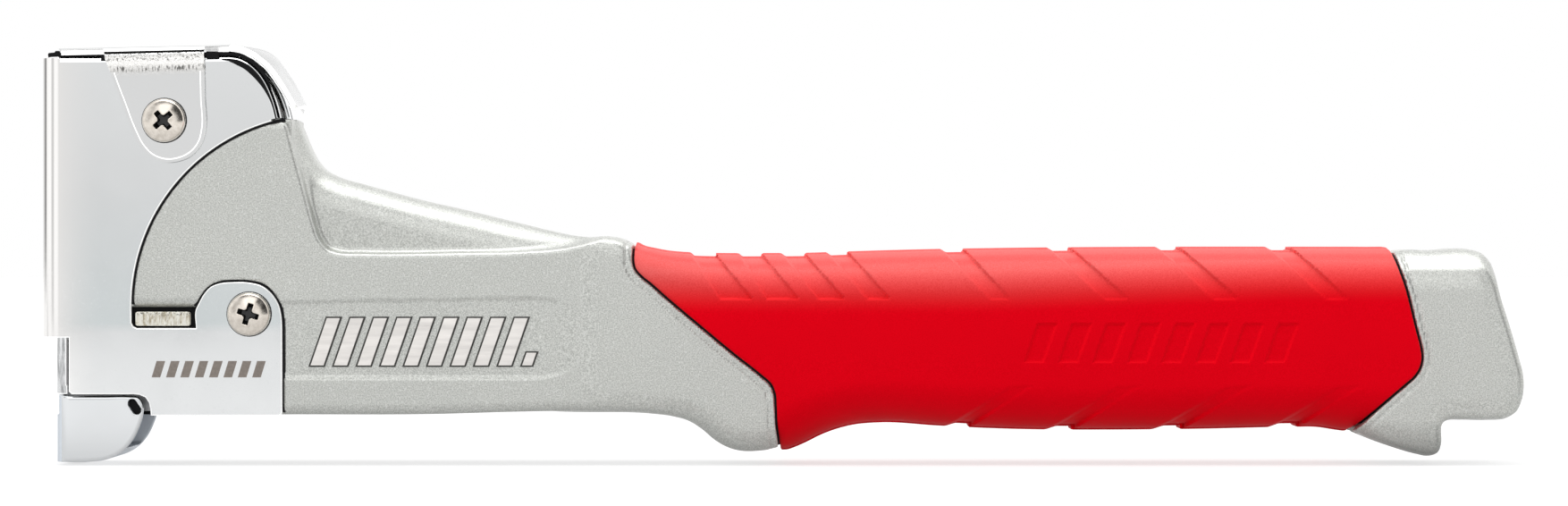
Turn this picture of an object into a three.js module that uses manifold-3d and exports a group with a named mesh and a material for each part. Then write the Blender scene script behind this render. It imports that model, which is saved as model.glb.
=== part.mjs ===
// Hammer tacker: a cast head and handle, a plated steel head shell and strap, a nose and staple
// magazine that swing up about a rear pivot, a rocker that turns that swing into a driver stroke,
// and a rod-guided pusher that draws out of the tail.
// Frame: millimetres, +X from head to tail, +Z from nose sole to head top, mid-plane y = 0,
// right side at +Y. The origin is on the nose sole, just behind the staple slot.
import * as THREE from "three";
import { mergeVertices } from "three/addons/utils/BufferGeometryUtils.js";
import Module from "manifold-3d";

const wasm = await Module();
wasm.setup();

// ---- shared dimensions ("half" is always a half width in y) ----
const HEAD_HALF = 15.2; // outside of the head shell cheeks
const EAR_HALF = 16.9; // outside of the strap ears
const SHEET = 1.3; // shell and nose sheet thickness
const BLOCK_HALF = 13.6; // casting under the cheeks
const BODY_HALF = 15; // casting where it is exposed
const WEB_HALF = 9.5; // tapering web above the neck
const CORE_HALF = 12.8; // casting under the grip
const GRIP_HALF = 16.2; // rubber grip
const CAVITY_HALF = 8.5; // tunnel for the magazine
const GAP = 0.3; // gap between nested pieces
const THROUGH = 30; // half width of cutters that pass right through
const CHEEK_ARC = { x: 54.1, z: 34.3, radius: 42 }; // arc edge of the cheeks
const UPPER = { x: 19.6, z: 74.9 }; // upper head screws and rocker axle
const LOWER = { x: 38, z: 32.5 }; // lower head screws
const PIVOT = { x: 262, z: 19 }; // magazine pivot
const CATCH_PIN = { x: 305.5, z: 12, bore: 1.2, sides: 16 };
const AXLE = { radius: 3.5, bore: 3.58, half: 13.3 }; // bore: of the pieces that ride on it
const ROCKER = { front: 22.3, rear: 12.7, restDegrees: 20.9 }; // arm lengths and rest slope
const CHANNEL = { half: 6.7, wall: 1.2, bottom: 11, top: 26.5, front: -3.3, rear: 296 };
const SLOT = { front: CHANNEL.front, rear: -0.6, half: 5.5 }; // staple throat
const NOSE = { front: -4.7, half: 13.4 };
const DRIVER = { front: -2.55, rear: -1.25, tip: 25.7, top: 87.8 };
const PUSHER_ROD = { z: 18, radius: 1.5, front: 7, rear: 303 };
const SHOCK_TAB = { front: 17, rear: 22, inner: 10.2, outer: 12.4, bottom: 33 };

// ---- helpers: outlines ----
const toVectors = (points) => points.map(([x, y]) => new THREE.Vector2(x, y));

// points along an arc about (x, y), both ends included, angles in degrees
const arc = (x, y, radius, from, to, steps) =>
  Array.from({ length: steps + 1 }, (_, i) => {
    const angle = THREE.MathUtils.degToRad(from + ((to - from) * i) / steps);
    return [x + radius * Math.cos(angle), y + radius * Math.sin(angle)];
  });

const cheekArc = (radius, from) => arc(CHEEK_ARC.x, CHEEK_ARC.z, radius, from, 180, 16);

// four-sided bar from z to zEnd, its front and rear corners moved back by the two leans
const slantedBar = (x, width, z, frontLean, rearLean, zEnd) => [
  [x, z], [x + width, z], [x + rearLean, zEnd], [x + frontLean, zEnd],
];

// moves each outline point outwards by distance (outline in either winding)
function offset(points, distance) {
  const winding = Math.sign(THREE.ShapeUtils.area(toVectors(points)));
  const normal = (from, to) => {
    const [x, y] = [to[0] - from[0], to[1] - from[1]];
    const length = Math.hypot(x, y);
    return [(winding * y) / length, (-winding * x) / length];
  };
  return points.map((point, i) => {
    const before = normal(points.at(i - 1), point);
    const after = normal(point, points[(i + 1) % points.length]);
    // the lower bound keeps sharp corners from running far out
    const spread = Math.max(1 + before[0] * after[0] + before[1] * after[1], 0.5);
    return point.map((value, k) => value + ((before[k] + after[k]) * distance) / spread);
  });
}

// ---- helpers: solids ----
function solid(geometry) {
  geometry.deleteAttribute("normal");
  geometry.deleteAttribute("uv");
  const merged = mergeVertices(geometry, 1e-4);
  return new wasm.Manifold(
    new wasm.Mesh({
      numProp: 3,
      vertProperties: new Float32Array(merged.attributes.position.array),
      triVerts: new Uint32Array(merged.index.array),
    }),
  );
}

function geometryOf(piece) {
  const mesh = piece.getMesh();
  const geometry = new THREE.BufferGeometry();
  const positions = new Float32Array(mesh.vertProperties);
  geometry.setAttribute("position", new THREE.BufferAttribute(positions, 3));
  geometry.setIndex(new THREE.BufferAttribute(new Uint32Array(mesh.triVerts), 1));
  geometry.computeVertexNormals();
  return geometry;
}

const extrude = (points, options) =>
  new THREE.ExtrudeGeometry(new THREE.Shape(toVectors(points)), options);

// side outline (x, z) spread from yMin to yMax, with rounded rims when bevel > 0
function plateBetween(points, yMin, yMax, bevel = 0, bevelSegments = 2) {
  const geometry = extrude(points, {
    depth: yMax - yMin - 2 * bevel,
    bevelEnabled: bevel > 0,
    bevelThickness: bevel,
    bevelSize: bevel,
    bevelOffset: -bevel,
    bevelSegments,
  });
  geometry.rotateX(Math.PI / 2);
  geometry.translate(0, yMax - bevel, 0);
  return solid(geometry);
}
const plate = (points, half, bevel, bevelSegments) =>
  plateBetween(points, -half, half, bevel, bevelSegments);

// plan outline (x, y) raised from zMin to zMax
function prismZ(points, zMin, zMax) {
  const geometry = extrude(points, { depth: zMax - zMin, bevelEnabled: false });
  geometry.translate(0, 0, zMin);
  return solid(geometry);
}

// cross-section (y, z) run from xMin to xMax
function prismX(points, xMin, xMax) {
  const geometry = extrude(points, { depth: xMax - xMin, bevelEnabled: false });
  const turn = new THREE.Matrix4().set(0, 0, 1, xMin, 1, 0, 0, 0, 0, 1, 0, 0, 0, 0, 0, 1);
  return solid(geometry.applyMatrix4(turn));
}

function box(xMin, xMax, yMin, yMax, zMin, zMax) {
  const geometry = new THREE.BoxGeometry(xMax - xMin, yMax - yMin, zMax - zMin);
  geometry.translate((xMin + xMax) / 2, (yMin + yMax) / 2, (zMin + zMax) / 2);
  return solid(geometry);
}
// box centred on the mid-plane
const block = (xMin, xMax, half, zMin, zMax) => box(xMin, xMax, -half, half, zMin, zMax);

// crosswise cylinder at a place { x, z }
function pinBetween(radius, yMin, yMax, place, sides = 32) {
  const geometry = new THREE.CylinderGeometry(radius, radius, yMax - yMin, sides);
  geometry.translate(place.x, (yMin + yMax) / 2, place.z);
  return solid(geometry);
}
const pin = (radius, half, place, sides) => pinBetween(radius, -half, half, place, sides);

// lengthwise cylinder on the pusher rod's axis
function rod(radius, xMin, xMax, sides = 16) {
  const geometry = new THREE.CylinderGeometry(radius, radius, xMax - xMin, sides);
  geometry.rotateZ(Math.PI / 2);
  geometry.translate((xMin + xMax) / 2, 0, PUSHER_ROD.z);
  return solid(geometry);
}

const mirrorY = (piece) => piece.mirror([0, 1, 0]);
const bothSides = (piece) => piece.add(mirrorY(piece));

// a wire coil that runs from start along the x or z axis
function coil({ axis, start, length, radius, wireRadius, turns, stepsPerTurn, sides }) {
  class Helix extends THREE.Curve {
    getPoint(t, out = new THREE.Vector3()) {
      const angle = 2 * Math.PI * turns * t;
      const across = [radius * Math.cos(angle), radius * Math.sin(angle)];
      const along = length * t;
      const [x, y, z] = axis === "x" ? [along, ...across] : [...across, along];
      return out.set(start[0] + x, start[1] + y, start[2] + z);
    }
  }
  const wireSection = arc(0, 0, wireRadius, 0, 360, sides).slice(0, -1);
  return solid(
    extrude(wireSection, {
      steps: Math.round(turns * stepsPerTurn),
      extrudePath: new Helix(),
      bevelEnabled: false,
    }),
  );
}

// ---- materials ----
const standard = (options) => new THREE.MeshStandardMaterial(options);
const paint = standard({ color: 0xb9bcb8, roughness: 0.45, metalness: 0.6 });
const chrome = standard({ color: 0xe2e4e6, roughness: 0.08, metalness: 1 });
const nickel = standard({ color: 0xd9d1c4, roughness: 0.18, metalness: 1 });
const rubber = standard({ color: 0xd90a1c, roughness: 0.55, metalness: 0 });
const steel = standard({ color: 0x8d9094, roughness: 0.35, metalness: 1 });
const urethane = standard({ color: 0xe6dcc4, roughness: 0.4, metalness: 0 });
const blackRubber = standard({ color: 0x1c1c1e, roughness: 0.7, metalness: 0 });
const plastic = standard({ color: 0x222325, roughness: 0.5, metalness: 0 });

// ---- casting: head block, neck, grip core and tail; outlines are (x, z) ----
const bodyOutline = [
  [-0.95, 42], [-0.95, 86.6], [33, 86.6], [37, 84.8], [40.3, 81], [41.9, 76.8], [43.2, 75],
  [47.4, 75.4], [48.6, 73.4], [49.9, 69.6], [51.4, 66.6], [53.6, 64.3], [56.6, 62.8],
  [61.8, 61.2], [73.5, 58], [85.3, 55.3], [97.1, 52.4], [108.8, 49.6], [112, 49.1],
  [116, 49.2], [120, 48.2], [122.2, 46.8], [122.8, 43.6], [289.4, 43.6], [290.6, 45.9],
  [293, 46.1], [307.5, 46.2], [309.6, 45.4], [310.8, 43.6], [313.9, 32.4], [317, 22.6],
  [317.8, 18.2], [317.2, 13.4], [315.6, 10.6], [313, 9.5], [302, 9.6], [300.2, 8.4],
  [299.4, 5.7], [299.5, 3.4], [297.6, 1.7], [294.7, 2], [288.4, 3.9], [282.2, 6.6],
  [280.6, 7.9], [280.4, 10.3], [156.5, 10.3], [153.9, 4.2], [152.4, 3.2], [147.5, 2.6],
  [143.6, 3.2], [140.6, 4.8], [137.6, 7.4], [134.8, 9.2], [131, 10.3], [126, 10.9],
  [100, 11.1], [46, 10.4], [29.6, 10.6], [29.6, 34], [9, 34], [9, 42],
];
const coreOutline = [
  [106, 43.6], [296, 43.6], [298, 18], [291, 10.3], [150, 10.3], [106, 24],
];
const gripOutline = [
  [122.9, 48.2], [124.5, 47.6], [127, 47], [130, 46.5], [134, 45.8], [140, 45.6],
  [150, 45.6], [160, 45.9], [175, 46.4], [200, 46.8], [240, 47.1], [287.6, 47.1],
  [289.2, 46.2], [290, 42.5], [292, 36.3], [293.9, 28.4], [294.9, 25.3], [295, 23],
  [294.3, 20.6], [291.6, 17.5], [288, 14.3], [283.3, 9.6], [281.2, 8], [279.2, 6.6],
  [277.5, 6.8], [272, 7.5], [260, 7.2], [235, 6.9], [210, 6.7], [190, 7.5], [178, 8.2],
  [170.6, 7.6], [166, 6.4], [162, 4.8], [158.8, 3.2], [155.9, 2.3], [154.5, 2.8],
  [154.2, 5.2], [154, 8], [153.9, 13], [153.3, 15.9], [152.2, 17.5], [148.6, 20.6],
  [139, 28.4], [129.6, 36.3], [126.1, 39.4], [124.1, 41], [122.9, 42.5], [122.5, 45],
];
// the part of the side view that the head shell leaves exposed
const exposedOutline = [
  ...cheekArc(CHEEK_ARC.radius - 0.5, 100.9), [12.6, 34], [25.8, 34], [26.4, 35.1],
  [27.5, 37], [29.2, 38.8], [31.2, 39.7], [34.7, 39.9], [38.3, 39.9], [41.5, 39.1],
  [43.7, 37.2], [45.2, 34.9], [46, 31.9], [46.2, 29.8], [46.2, 0], [330, 0], [330, 100],
  [46.3, 100],
];
const webPocketOutline = [
  [46.6, 79], [47.6, 73], [50.3, 61], [52, 53.5], [53.2, 49.5], [55, 47], [57.4, 45.9],
  [70, 45.7], [90, 45.9], [108, 46.3], [119, 46.8], [119, 54], [70, 66], [56, 80],
];
const cavityOutline = [
  [-10, -5], [-10, 83], [41, 83], [41.5, 62], [44, 46], [48, 42.3], [112, 42.3], [120, 40],
  [289, 40], [291, 29.5], [330, 29.5], [330, -5], [301, -5], [301, 5.2], [291.5, 5.2],
  [290, 7], [283.5, 7], [283.5, -5], [157, -5], [157, 10.4], [129, 10.4], [129, -5],
];
const neckPanelOutline = [
  [48, 15.9], [100, 16.2], [103.6, 18.2], [103, 22], [97, 32.6], [48, 32.6],
];

// shallow panel on the side of the neck that leaves a row of raised slanted bars
function neckPanelCut() {
  const [barCount, firstBar, barPitch] = [9, 52.4, 5];
  let cut = plateBetween(neckPanelOutline, BODY_HALF - 0.5, THROUGH);
  for (let i = 0; i < barCount; i++) {
    const bar = slantedBar(firstBar + barPitch * i, 2.6, 21.4, 3, 5.6, 30.4);
    cut = cut.subtract(plateBetween(bar, 10, THROUGH + 1));
  }
  return cut;
}

function bodyCasting() {
  const gripHole = plate(offset(gripOutline, 0.35), THROUGH);
  const head = plate(bodyOutline, BLOCK_HALF, 0.6, 1).intersect(block(-5, 60, THROUGH, -5, 100));
  const exposed = plate(bodyOutline, BODY_HALF, 1.6)
    .intersect(plate(exposedOutline, THROUGH))
    .subtract(gripHole);
  const driverTopSlot = block(-5, 8, 4, 80, 85.3);
  const shockTabSlot = box(
    SHOCK_TAB.front - GAP, SHOCK_TAB.rear + GAP,
    SHOCK_TAB.inner - GAP, SHOCK_TAB.outer + GAP,
    SHOCK_TAB.bottom, 38.4,
  );
  return head
    .add(exposed)
    .add(plate(coreOutline, CORE_HALF, 2.4))
    .subtract(bothSides(plateBetween(webPocketOutline, WEB_HALF, THROUGH)))
    .subtract(plate(cavityOutline, CAVITY_HALF))
    .subtract(driverTopSlot)
    .subtract(pin(3.6, THROUGH, UPPER))
    .subtract(pin(2.7, THROUGH, LOWER, 24))
    .subtract(pin(2.5, CORE_HALF - 0.6, PIVOT, 24))
    .subtract(bothSides(shockTabSlot))
    .subtract(bothSides(neckPanelCut()));
}

// ---- rubber grip ----
// rounded rectangle (y, z) that rounds the grip's long edges
function gripSection(bottom) {
  const [top, radius] = [47.6, 8.5];
  const corners = [
    [1, top - radius], [-1, top - radius], [-1, bottom + radius], [1, bottom + radius],
  ];
  return corners.flatMap(([side, z], i) =>
    arc(side * (GRIP_HALF - radius), z, radius, 90 * i, 90 * (i + 1), 5),
  );
}

// columns: x, width, z, front lean, rear lean, z at the other end
const gripGrooves = [
  // upper shoulder
  [134.5, 5, 49, 7.6, 13, 36],
  [145.1, 5, 49, 7.2, 12.8, 36],
  [154.9, 5, 49, 8.4, 13.4, 36],
  [165.1, 5, 49, 8.8, 13.2, 36],
  ...[190.4, 214.3, 238.4, 262.7].map((x) => [x, 4.8, 49, 11, 15.4, 35.9]),
  // lower shoulder
  ...[190.6, 213.9, 237.5, 262.4].map((x) => [x, 4.8, 4, 13, 17, 16.3]),
  // row of short dashes between them
  ...Array.from({ length: 8 }, (_, i) => [208.5 + 7.4 * i, 4.2, 22.4, 2.8, 7, 29.8]),
];

function gripSleeve() {
  const grooveDepth = 1;
  // the section reaches lower in front, where the grip bulges down
  const rounding = prismX(gripSection(2.1), 100, 168).add(prismX(gripSection(5.6), 167.9, 310));
  let grip = plate(gripOutline, GRIP_HALF, 1.2)
    .intersect(rounding)
    .subtract(plate(offset(coreOutline, GAP), CORE_HALF + GAP))
    .intersect(block(122.3, 296, THROUGH, 0, 60));
  for (const groove of gripGrooves) {
    const cut = plateBetween(slantedBar(...groove), GRIP_HALF - grooveDepth, THROUGH);
    grip = grip.subtract(bothSides(cut));
  }
  return grip;
}

// ---- head shell: one folded sheet with returned top and rear flanges; outlines (x, z) ----
const shellOutline = [
  [-7, 27.4], [-7, 89.2], [34.7, 89.2], [37.4, 88.4], [39.6, 86.9], [42.2, 83.7],
  [43.7, 79.8], [44.7, 76.6], ...cheekArc(CHEEK_ARC.radius, 101.6), [12.3, 30.8],
  [13.3, 29.5], [26.3, 29.5],
  // lobe around the lower screw
  [26.3, 33.8], [26.9, 34.7], [28, 36.7], [29.6, 38.4], [31.4, 39.2], [34.7, 39.4],
  [38.2, 39.4], [41.2, 38.6], [43.3, 36.9], [44.7, 34.7], [45.5, 31.8], [45.7, 29.8],
  [45.7, 10.8], [45.3, 10.4],
  [16.3, 10.2], [16.1, 12.8], [15.3, 14.5], [14.1, 15], [-1.6, 15], [-1.6, 27.4],
];
const flangeOutline = [
  [7, 95], [7, 86.5], [34, 86.5], [40, 77.5], [50, 76.2], [50, 95],
];

// plan (x, y) of the shell's U, rounded at the front corners
function shellPlan(inset, rear) {
  const front = -7 + inset;
  const half = HEAD_HALF - inset;
  const radius = 3.6 - inset;
  return [
    [rear, -half], [rear, half],
    ...arc(front + radius, half - radius, radius, 90, 180, 5),
    ...arc(front + radius, radius - half, radius, 180, 270, 5),
  ];
}

function headShell() {
  const flangeShift = 1.25;
  const inner = shellOutline.map(([x, z]) => [x - flangeShift, z - flangeShift]);
  const sideRegion = plate(shellOutline, THROUGH);
  const flanges = sideRegion
    .subtract(plate(inner, THROUGH + 1))
    .intersect(plate(flangeOutline, HEAD_HALF))
    .subtract(block(-10, 70, 10.6, 0, 100))
    .intersect(prismZ(shellPlan(0.05, 60), 0, 95));
  return prismZ(shellPlan(0, 60), 0, 95)
    .subtract(prismZ(shellPlan(SHEET, 70), -5, 99))
    .intersect(sideRegion)
    .add(flanges)
    .subtract(pin(2.8, THROUGH, UPPER, 24))
    .subtract(pin(2.8, THROUGH, LOWER, 24));
}

// ---- top strap with side ears; outlines (x, z), section (y, z) ----
const strapOutline = [
  [-6.4, 89.5], [-6.4, 91.3], [36, 91.3], [40.2, 90.9], [44.1, 89.5], [46.7, 87.3],
  [49, 83.3], [50.6, 79.5], [49.1, 78.9], [47.6, 82.6], [45.4, 86.3], [43.3, 88.1],
  [39.8, 89.3], [36, 89.6],
];
const earOutline = [
  [6.9, 91.3], [7.6, 88.4], [8.4, 85.7], [10.8, 78.8], [13.1, 72.4], [14.7, 69],
  [17.3, 66.7], [20, 65.9], [22.5, 66.1], [25.3, 67.3], [27.3, 69.6], [28, 72], [28, 91.3],
];
const strapSection = [
  [-EAR_HALF, 60], [-EAR_HALF, 89.6], [-16.3, 90.8], [-15.2, 91.3],
  [15.2, 91.3], [16.3, 90.8], [EAR_HALF, 89.6], [EAR_HALF, 60],
];

function strikeStrap() {
  return plate(strapOutline, 13.2)
    .add(plate(earOutline, EAR_HALF))
    .subtract(block(0, 36, HEAD_HALF + 0.2, 50, 89.5)) // room for the shell between the ears
    .intersect(prismX(strapSection, -10, 60))
    .subtract(pin(2.8, THROUGH, UPPER, 24));
}

// ---- right-hand head screw: M5 pan head with a cross recess, its underside at y = seat ----
function headScrew(place, seat, shank) {
  // profile: radius, distance from the shank's end
  const profile = [
    [0, 0], [2.5, 0], [2.5, shank], [4.8, shank], [4.8, shank + 0.9], [4.2, shank + 2],
    [2.8, shank + 2.7], [0, shank + 3],
  ];
  let screw = solid(new THREE.LatheGeometry(toVectors(profile), 24));
  for (const degrees of [45, 135]) {
    const recess = new THREE.BoxGeometry(4.6, 3.2, 1.15);
    recess.rotateY(THREE.MathUtils.degToRad(degrees));
    recess.translate(0, shank + 2.4, 0);
    screw = screw.subtract(solid(recess));
  }
  return screw.translate([place.x, seat - shank, place.z]);
}

// ---- rocker, its axle and bushes ----
function rockerAxle() {
  const screwBore = pinBetween(2.65, 8.2, THROUGH, UPPER, 24);
  return pin(AXLE.radius, AXLE.half, UPPER).subtract(bothSides(screwBore));
}

function rockerBush() {
  const [inner, outer] = [3.3, 8.3];
  const bore = pinBetween(AXLE.bore, inner - 1, outer + 1, UPPER);
  return pinBetween(5.4, inner, outer, UPPER, 24).subtract(bore);
}

// turns a point (along, above) the rocker arm into (x, z) at rest
function rockerPoint([along, above]) {
  const angle = THREE.MathUtils.degToRad(ROCKER.restDegrees);
  const [cos, sin] = [Math.cos(angle), Math.sin(angle)];
  return [UPPER.x + along * cos + above * sin, UPPER.z - along * sin + above * cos];
}

function rockerLever() {
  const outline = [
    ...arc(-ROCKER.front, 0, 2, 70, 290, 10), // front tip
    ...arc(0, 0, 6, 250, 282, 3), // hub underside
    ...arc(ROCKER.rear, 0, 3, -100, 100, 8), // rear tip
    ...arc(0, 0, 6.3, 60, 120, 5), // hub top
  ].map(rockerPoint);
  return plate(outline, 3, 0.4, 1).subtract(pin(AXLE.bore, THROUGH, UPPER));
}

// ---- driver and its wear plate ----
function driverBlade() {
  const { tip, top } = DRIVER;
  // face (y, z)
  const face = [
    [-5.2, tip], [5.2, tip], [5.2, 54], [11.3, 60], [11.3, top - 1.5], [9.8, top],
    [-9.8, top], [-11.3, top - 1.5], [-11.3, 60], [-5.2, 54],
  ];
  const rockerTipZ = rockerPoint([-ROCKER.front, 0])[1];
  const window = block(-4, 0, 3.5, rockerTipZ - 3, rockerTipZ + 3);
  return prismX(face, DRIVER.front, DRIVER.rear).subtract(window);
}

function driverWearPlate() {
  return block(-5.5, -2.8, 11.8, 42.5, 88.2).subtract(block(-7, 0, 4, 60, 95));
}

// ---- anti-shock block in the right cheek window, and the stroke stop; outlines (x, z) ----
function shockBlock() {
  const { front, rear, inner, outer, bottom } = SHOCK_TAB;
  const outline = [
    [13.4, 30.4], [13.9, 29.95], [25, 29.95], [25.5, 30.4], [25.5, 32.8], [25.1, 33.2],
    [13.8, 33.2], [13.4, 32.8],
  ];
  const tab = box(front, rear, inner, outer, bottom, 38);
  return plateBetween(outline, 9.2, 14.7, 0.3, 1).add(tab);
}

function stopPad() {
  const outline = [[70, 35], [71, 34.4], [89, 34.4], [90, 35], [90, 42], [70, 42]];
  return plate(outline, 6);
}

// ---- magazine: nose shoe, guide plate, channel, rail and lifter ----
function noseShoe() {
  const outline = [
    [NOSE.front, 0], [3.4, 0], [7.8, 1], [10.8, 2.9], [12.7, 5.3], [14.1, 8.2],
    [14.6, 11.2], [14.2, 13.4], [13.2, 14.5], [NOSE.front, 14.5],
  ];
  const hollow = block(NOSE.front + SHEET, 30, NOSE.half - SHEET, 3, 20);
  const throatBlock = block(-3.6, 5, 7.4, 2.8, 10.7);
  const throat = block(SLOT.front, SLOT.rear, SLOT.half, -1, 20);
  const channelRoom = block(SLOT.front, 12, CHANNEL.half + 0.4, 10.7, 20);
  const guideNotch = block(-5, -3.35, 12, 10.4, 20);
  return plate(outline, NOSE.half, 0.5)
    .subtract(hollow)
    .add(throatBlock)
    .subtract(throat)
    .subtract(channelRoom)
    .subtract(guideNotch);
}

function noseGuidePlate() {
  const { front, half } = NOSE;
  const [bottom, top] = [14.8, 30];
  const face = block(front, front + SHEET, half, bottom, top);
  const tongue = block(front, front + SHEET, 11.7, 10.7, 15);
  const sideFlange = box(front, -2.1, half - SHEET, half, bottom, top);
  return face.add(tongue).add(bothSides(sideFlange));
}

function magazineChannel() {
  const { half, wall, bottom, top, front, rear } = CHANNEL;
  const inside = half - wall;
  const floor = bottom + wall;
  const lip = { half: 4.2, bottom: top - 1 }; // lips turned in along the top
  // section (y, z)
  const section = [
    [-half, bottom], [half, bottom], [half, top], [lip.half, top], [lip.half, lip.bottom],
    [inside, lip.bottom], [inside, floor], [-inside, floor], [-inside, lip.bottom],
    [-lip.half, lip.bottom], [-lip.half, top], [-half, top],
  ];
  const throat = block(-5, -0.5, inside, 5, 30);
  const lifterNotch = block(26.9, 38.6, 4.3, 24, 30);
  return prismX(section, front, rear)
    .subtract(throat)
    .subtract(pin(2.55, THROUGH, PIVOT, 24))
    .subtract(lifterNotch);
}

function stapleRail() {
  // section (y, z)
  const section = [
    [-3.8, 12.4], [-3.8, 24.1], [3.8, 24.1], [3.8, 12.4], [2.9, 12.4], [2.9, 23.1],
    [-2.9, 23.1], [-2.9, 12.4],
  ];
  const topSlot = block(5, 300, 1.2, 20, 30);
  return prismX(section, -0.4, 295.8).subtract(topSlot);
}

function lifterPost() {
  const outline = [
    [27.3, 26.7], [38.2, 26.7], [38.2, 28.4], [35, 30], [34.4, 58], [33.4, 64.6],
    [32.4, 66.6], [31.6, 67], [30.4, 67], [29.6, 66.6], [29, 64.6], [28.6, 58],
    [27.9, 30], [27.3, 28.4],
  ];
  const foot = block(27.3, 38.2, 6.5, 26.7, 27.9);
  return plate(outline, 3, 0.3, 1).add(foot);
}

const pivotPin = () => pinBetween(2.4, 5.7, 12, PIVOT, 24);
const pivotSpacer = () =>
  pinBetween(4.2, 6.95, 8.25, PIVOT, 24).subtract(pinBetween(2.6, 6, 9, PIVOT, 24));

function springSeat() {
  const outline = [
    [47.5, 26.8], [60.5, 26.8], [60.5, 27.7], [56.4, 27.7], [56, 29.6], [52, 29.6],
    [51.6, 27.7], [47.5, 27.7],
  ];
  return plate(outline, 2).add(block(47.5, 60.5, 6.4, 26.8, 27.7));
}

const returnSpring = () =>
  coil({
    axis: "z", start: [54, 0, 28.6], length: 13, radius: 4.2, wireRadius: 0.55,
    turns: 4.25, stepsPerTurn: 10, sides: 6,
  });

// ---- pusher, rod, spring and rear loader cap; side outlines (x, z) ----
function staplePusher() {
  const [collarFront, rear] = [12.2, 17];
  // saddle section (y, z)
  const saddle = [
    [-5.3, 13], [-5.3, 25.3], [5.3, 25.3], [5.3, 13], [4, 13], [4, 24.3], [-4, 24.3], [-4, 13],
  ];
  return prismX(saddle, 0.4, rear)
    .add(block(6, rear, 0.9, 20.8, 24.6))
    .add(block(collarFront, rear, 0.9, 19.6, 24.6))
    .add(rod(2.55, collarFront, rear, 20))
    .subtract(rod(1.75, 5, 20));
}

function pusherRod() {
  const { radius, front, rear } = PUSHER_ROD;
  const frontCollar = rod(2.3, front, 9.6);
  return rod(radius, front, rear).add(frontCollar);
}

const pusherSpring = () =>
  coil({
    axis: "x", start: [17.5, 0, PUSHER_ROD.z], length: 277.5, radius: 2.1, wireRadius: 0.3,
    turns: 33, stepsPerTurn: 8, sides: 4,
  });

const catchPinBore = () => pin(CATCH_PIN.bore, THROUGH, CATCH_PIN, CATCH_PIN.sides);

function loaderCap() {
  const outline = [
    [296.5, 12.6], [303, 12.6], [303.6, 13.6], [307.5, 13.6], [308.5, 14.6], [313.5, 14.6],
    [315.2, 16.2], [314.6, 24], [313.6, 25.2], [296.5, 25.2],
  ];
  const lug = box(303.4, 307.6, 4.3, 6, 10.6, 14.2);
  return plate(outline, 6.3, 0.5, 1)
    .subtract(rod(1.65, 290, PUSHER_ROD.rear + GAP))
    .add(bothSides(lug))
    .subtract(catchPinBore());
}

function thumbCatch() {
  const outline = [
    [291.6, 9.8], [292.2, 9.2], [300, 9.3], [313, 10], [314.2, 10.6], [314.2, 11.9],
    [313, 12.4], [307.4, 12.9], [305.5, 13.2], [303.6, 12.9], [302.8, 12.2], [298.6, 12],
    [297.2, 10.7], [292.4, 10.6],
  ];
  return plate(outline, 4, 0.3, 1).subtract(catchPinBore());
}

// ---- assembly ----
const tacker = new THREE.Group();

function add(name, piece, material) {
  const mesh = new THREE.Mesh(geometryOf(piece), material);
  mesh.name = name;
  tacker.add(mesh);
}

// adds right-hand pieces [name, piece, material] together with their mirror images
function addPairs(...pieces) {
  for (const [name, piece, material] of pieces) add(`${name}_left`, mirrorY(piece), material);
  for (const [name, piece, material] of pieces) add(`${name}_right`, piece, material);
}

add("body_casting", bodyCasting(), paint);
add("grip_sleeve", gripSleeve(), rubber);
add("head_shell", headShell(), chrome);
add("strike_strap", strikeStrap(), chrome);
addPairs(["upper_screw", headScrew(UPPER, EAR_HALF + 0.1, 8.5), nickel]);
addPairs(["lower_screw", headScrew(LOWER, HEAD_HALF + 0.15, 5.6), nickel]);
add("rocker_axle", rockerAxle(), steel);
addPairs(["rocker_bush", rockerBush(), plastic]);
add("rocker_lever", rockerLever(), steel);
add("driver_blade", driverBlade(), steel);
add("driver_wear_plate", driverWearPlate(), steel);
addPairs(["shock_block", shockBlock(), urethane]);
add("stop_pad", stopPad(), blackRubber);
add("nose_shoe", noseShoe(), chrome);
add("nose_guide_plate", noseGuidePlate(), chrome);
add("magazine_channel", magazineChannel(), steel);
add("staple_rail", stapleRail(), steel);
add("lifter_post", lifterPost(), steel);
addPairs(["pivot_pin", pivotPin(), steel], ["pivot_spacer", pivotSpacer(), plastic]);
add("spring_seat", springSeat(), steel);
add("return_spring", returnSpring(), steel);
add("staple_pusher", staplePusher(), steel);
add("pusher_rod", pusherRod(), steel);
add("pusher_spring", pusherSpring(), steel);
add("loader_cap", loaderCap(), plastic);
add("thumb_catch", thumbCatch(), chrome);
add("catch_pin", pin(1.1, 5.9, CATCH_PIN, CATCH_PIN.sides), steel);

export default tacker;
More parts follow.
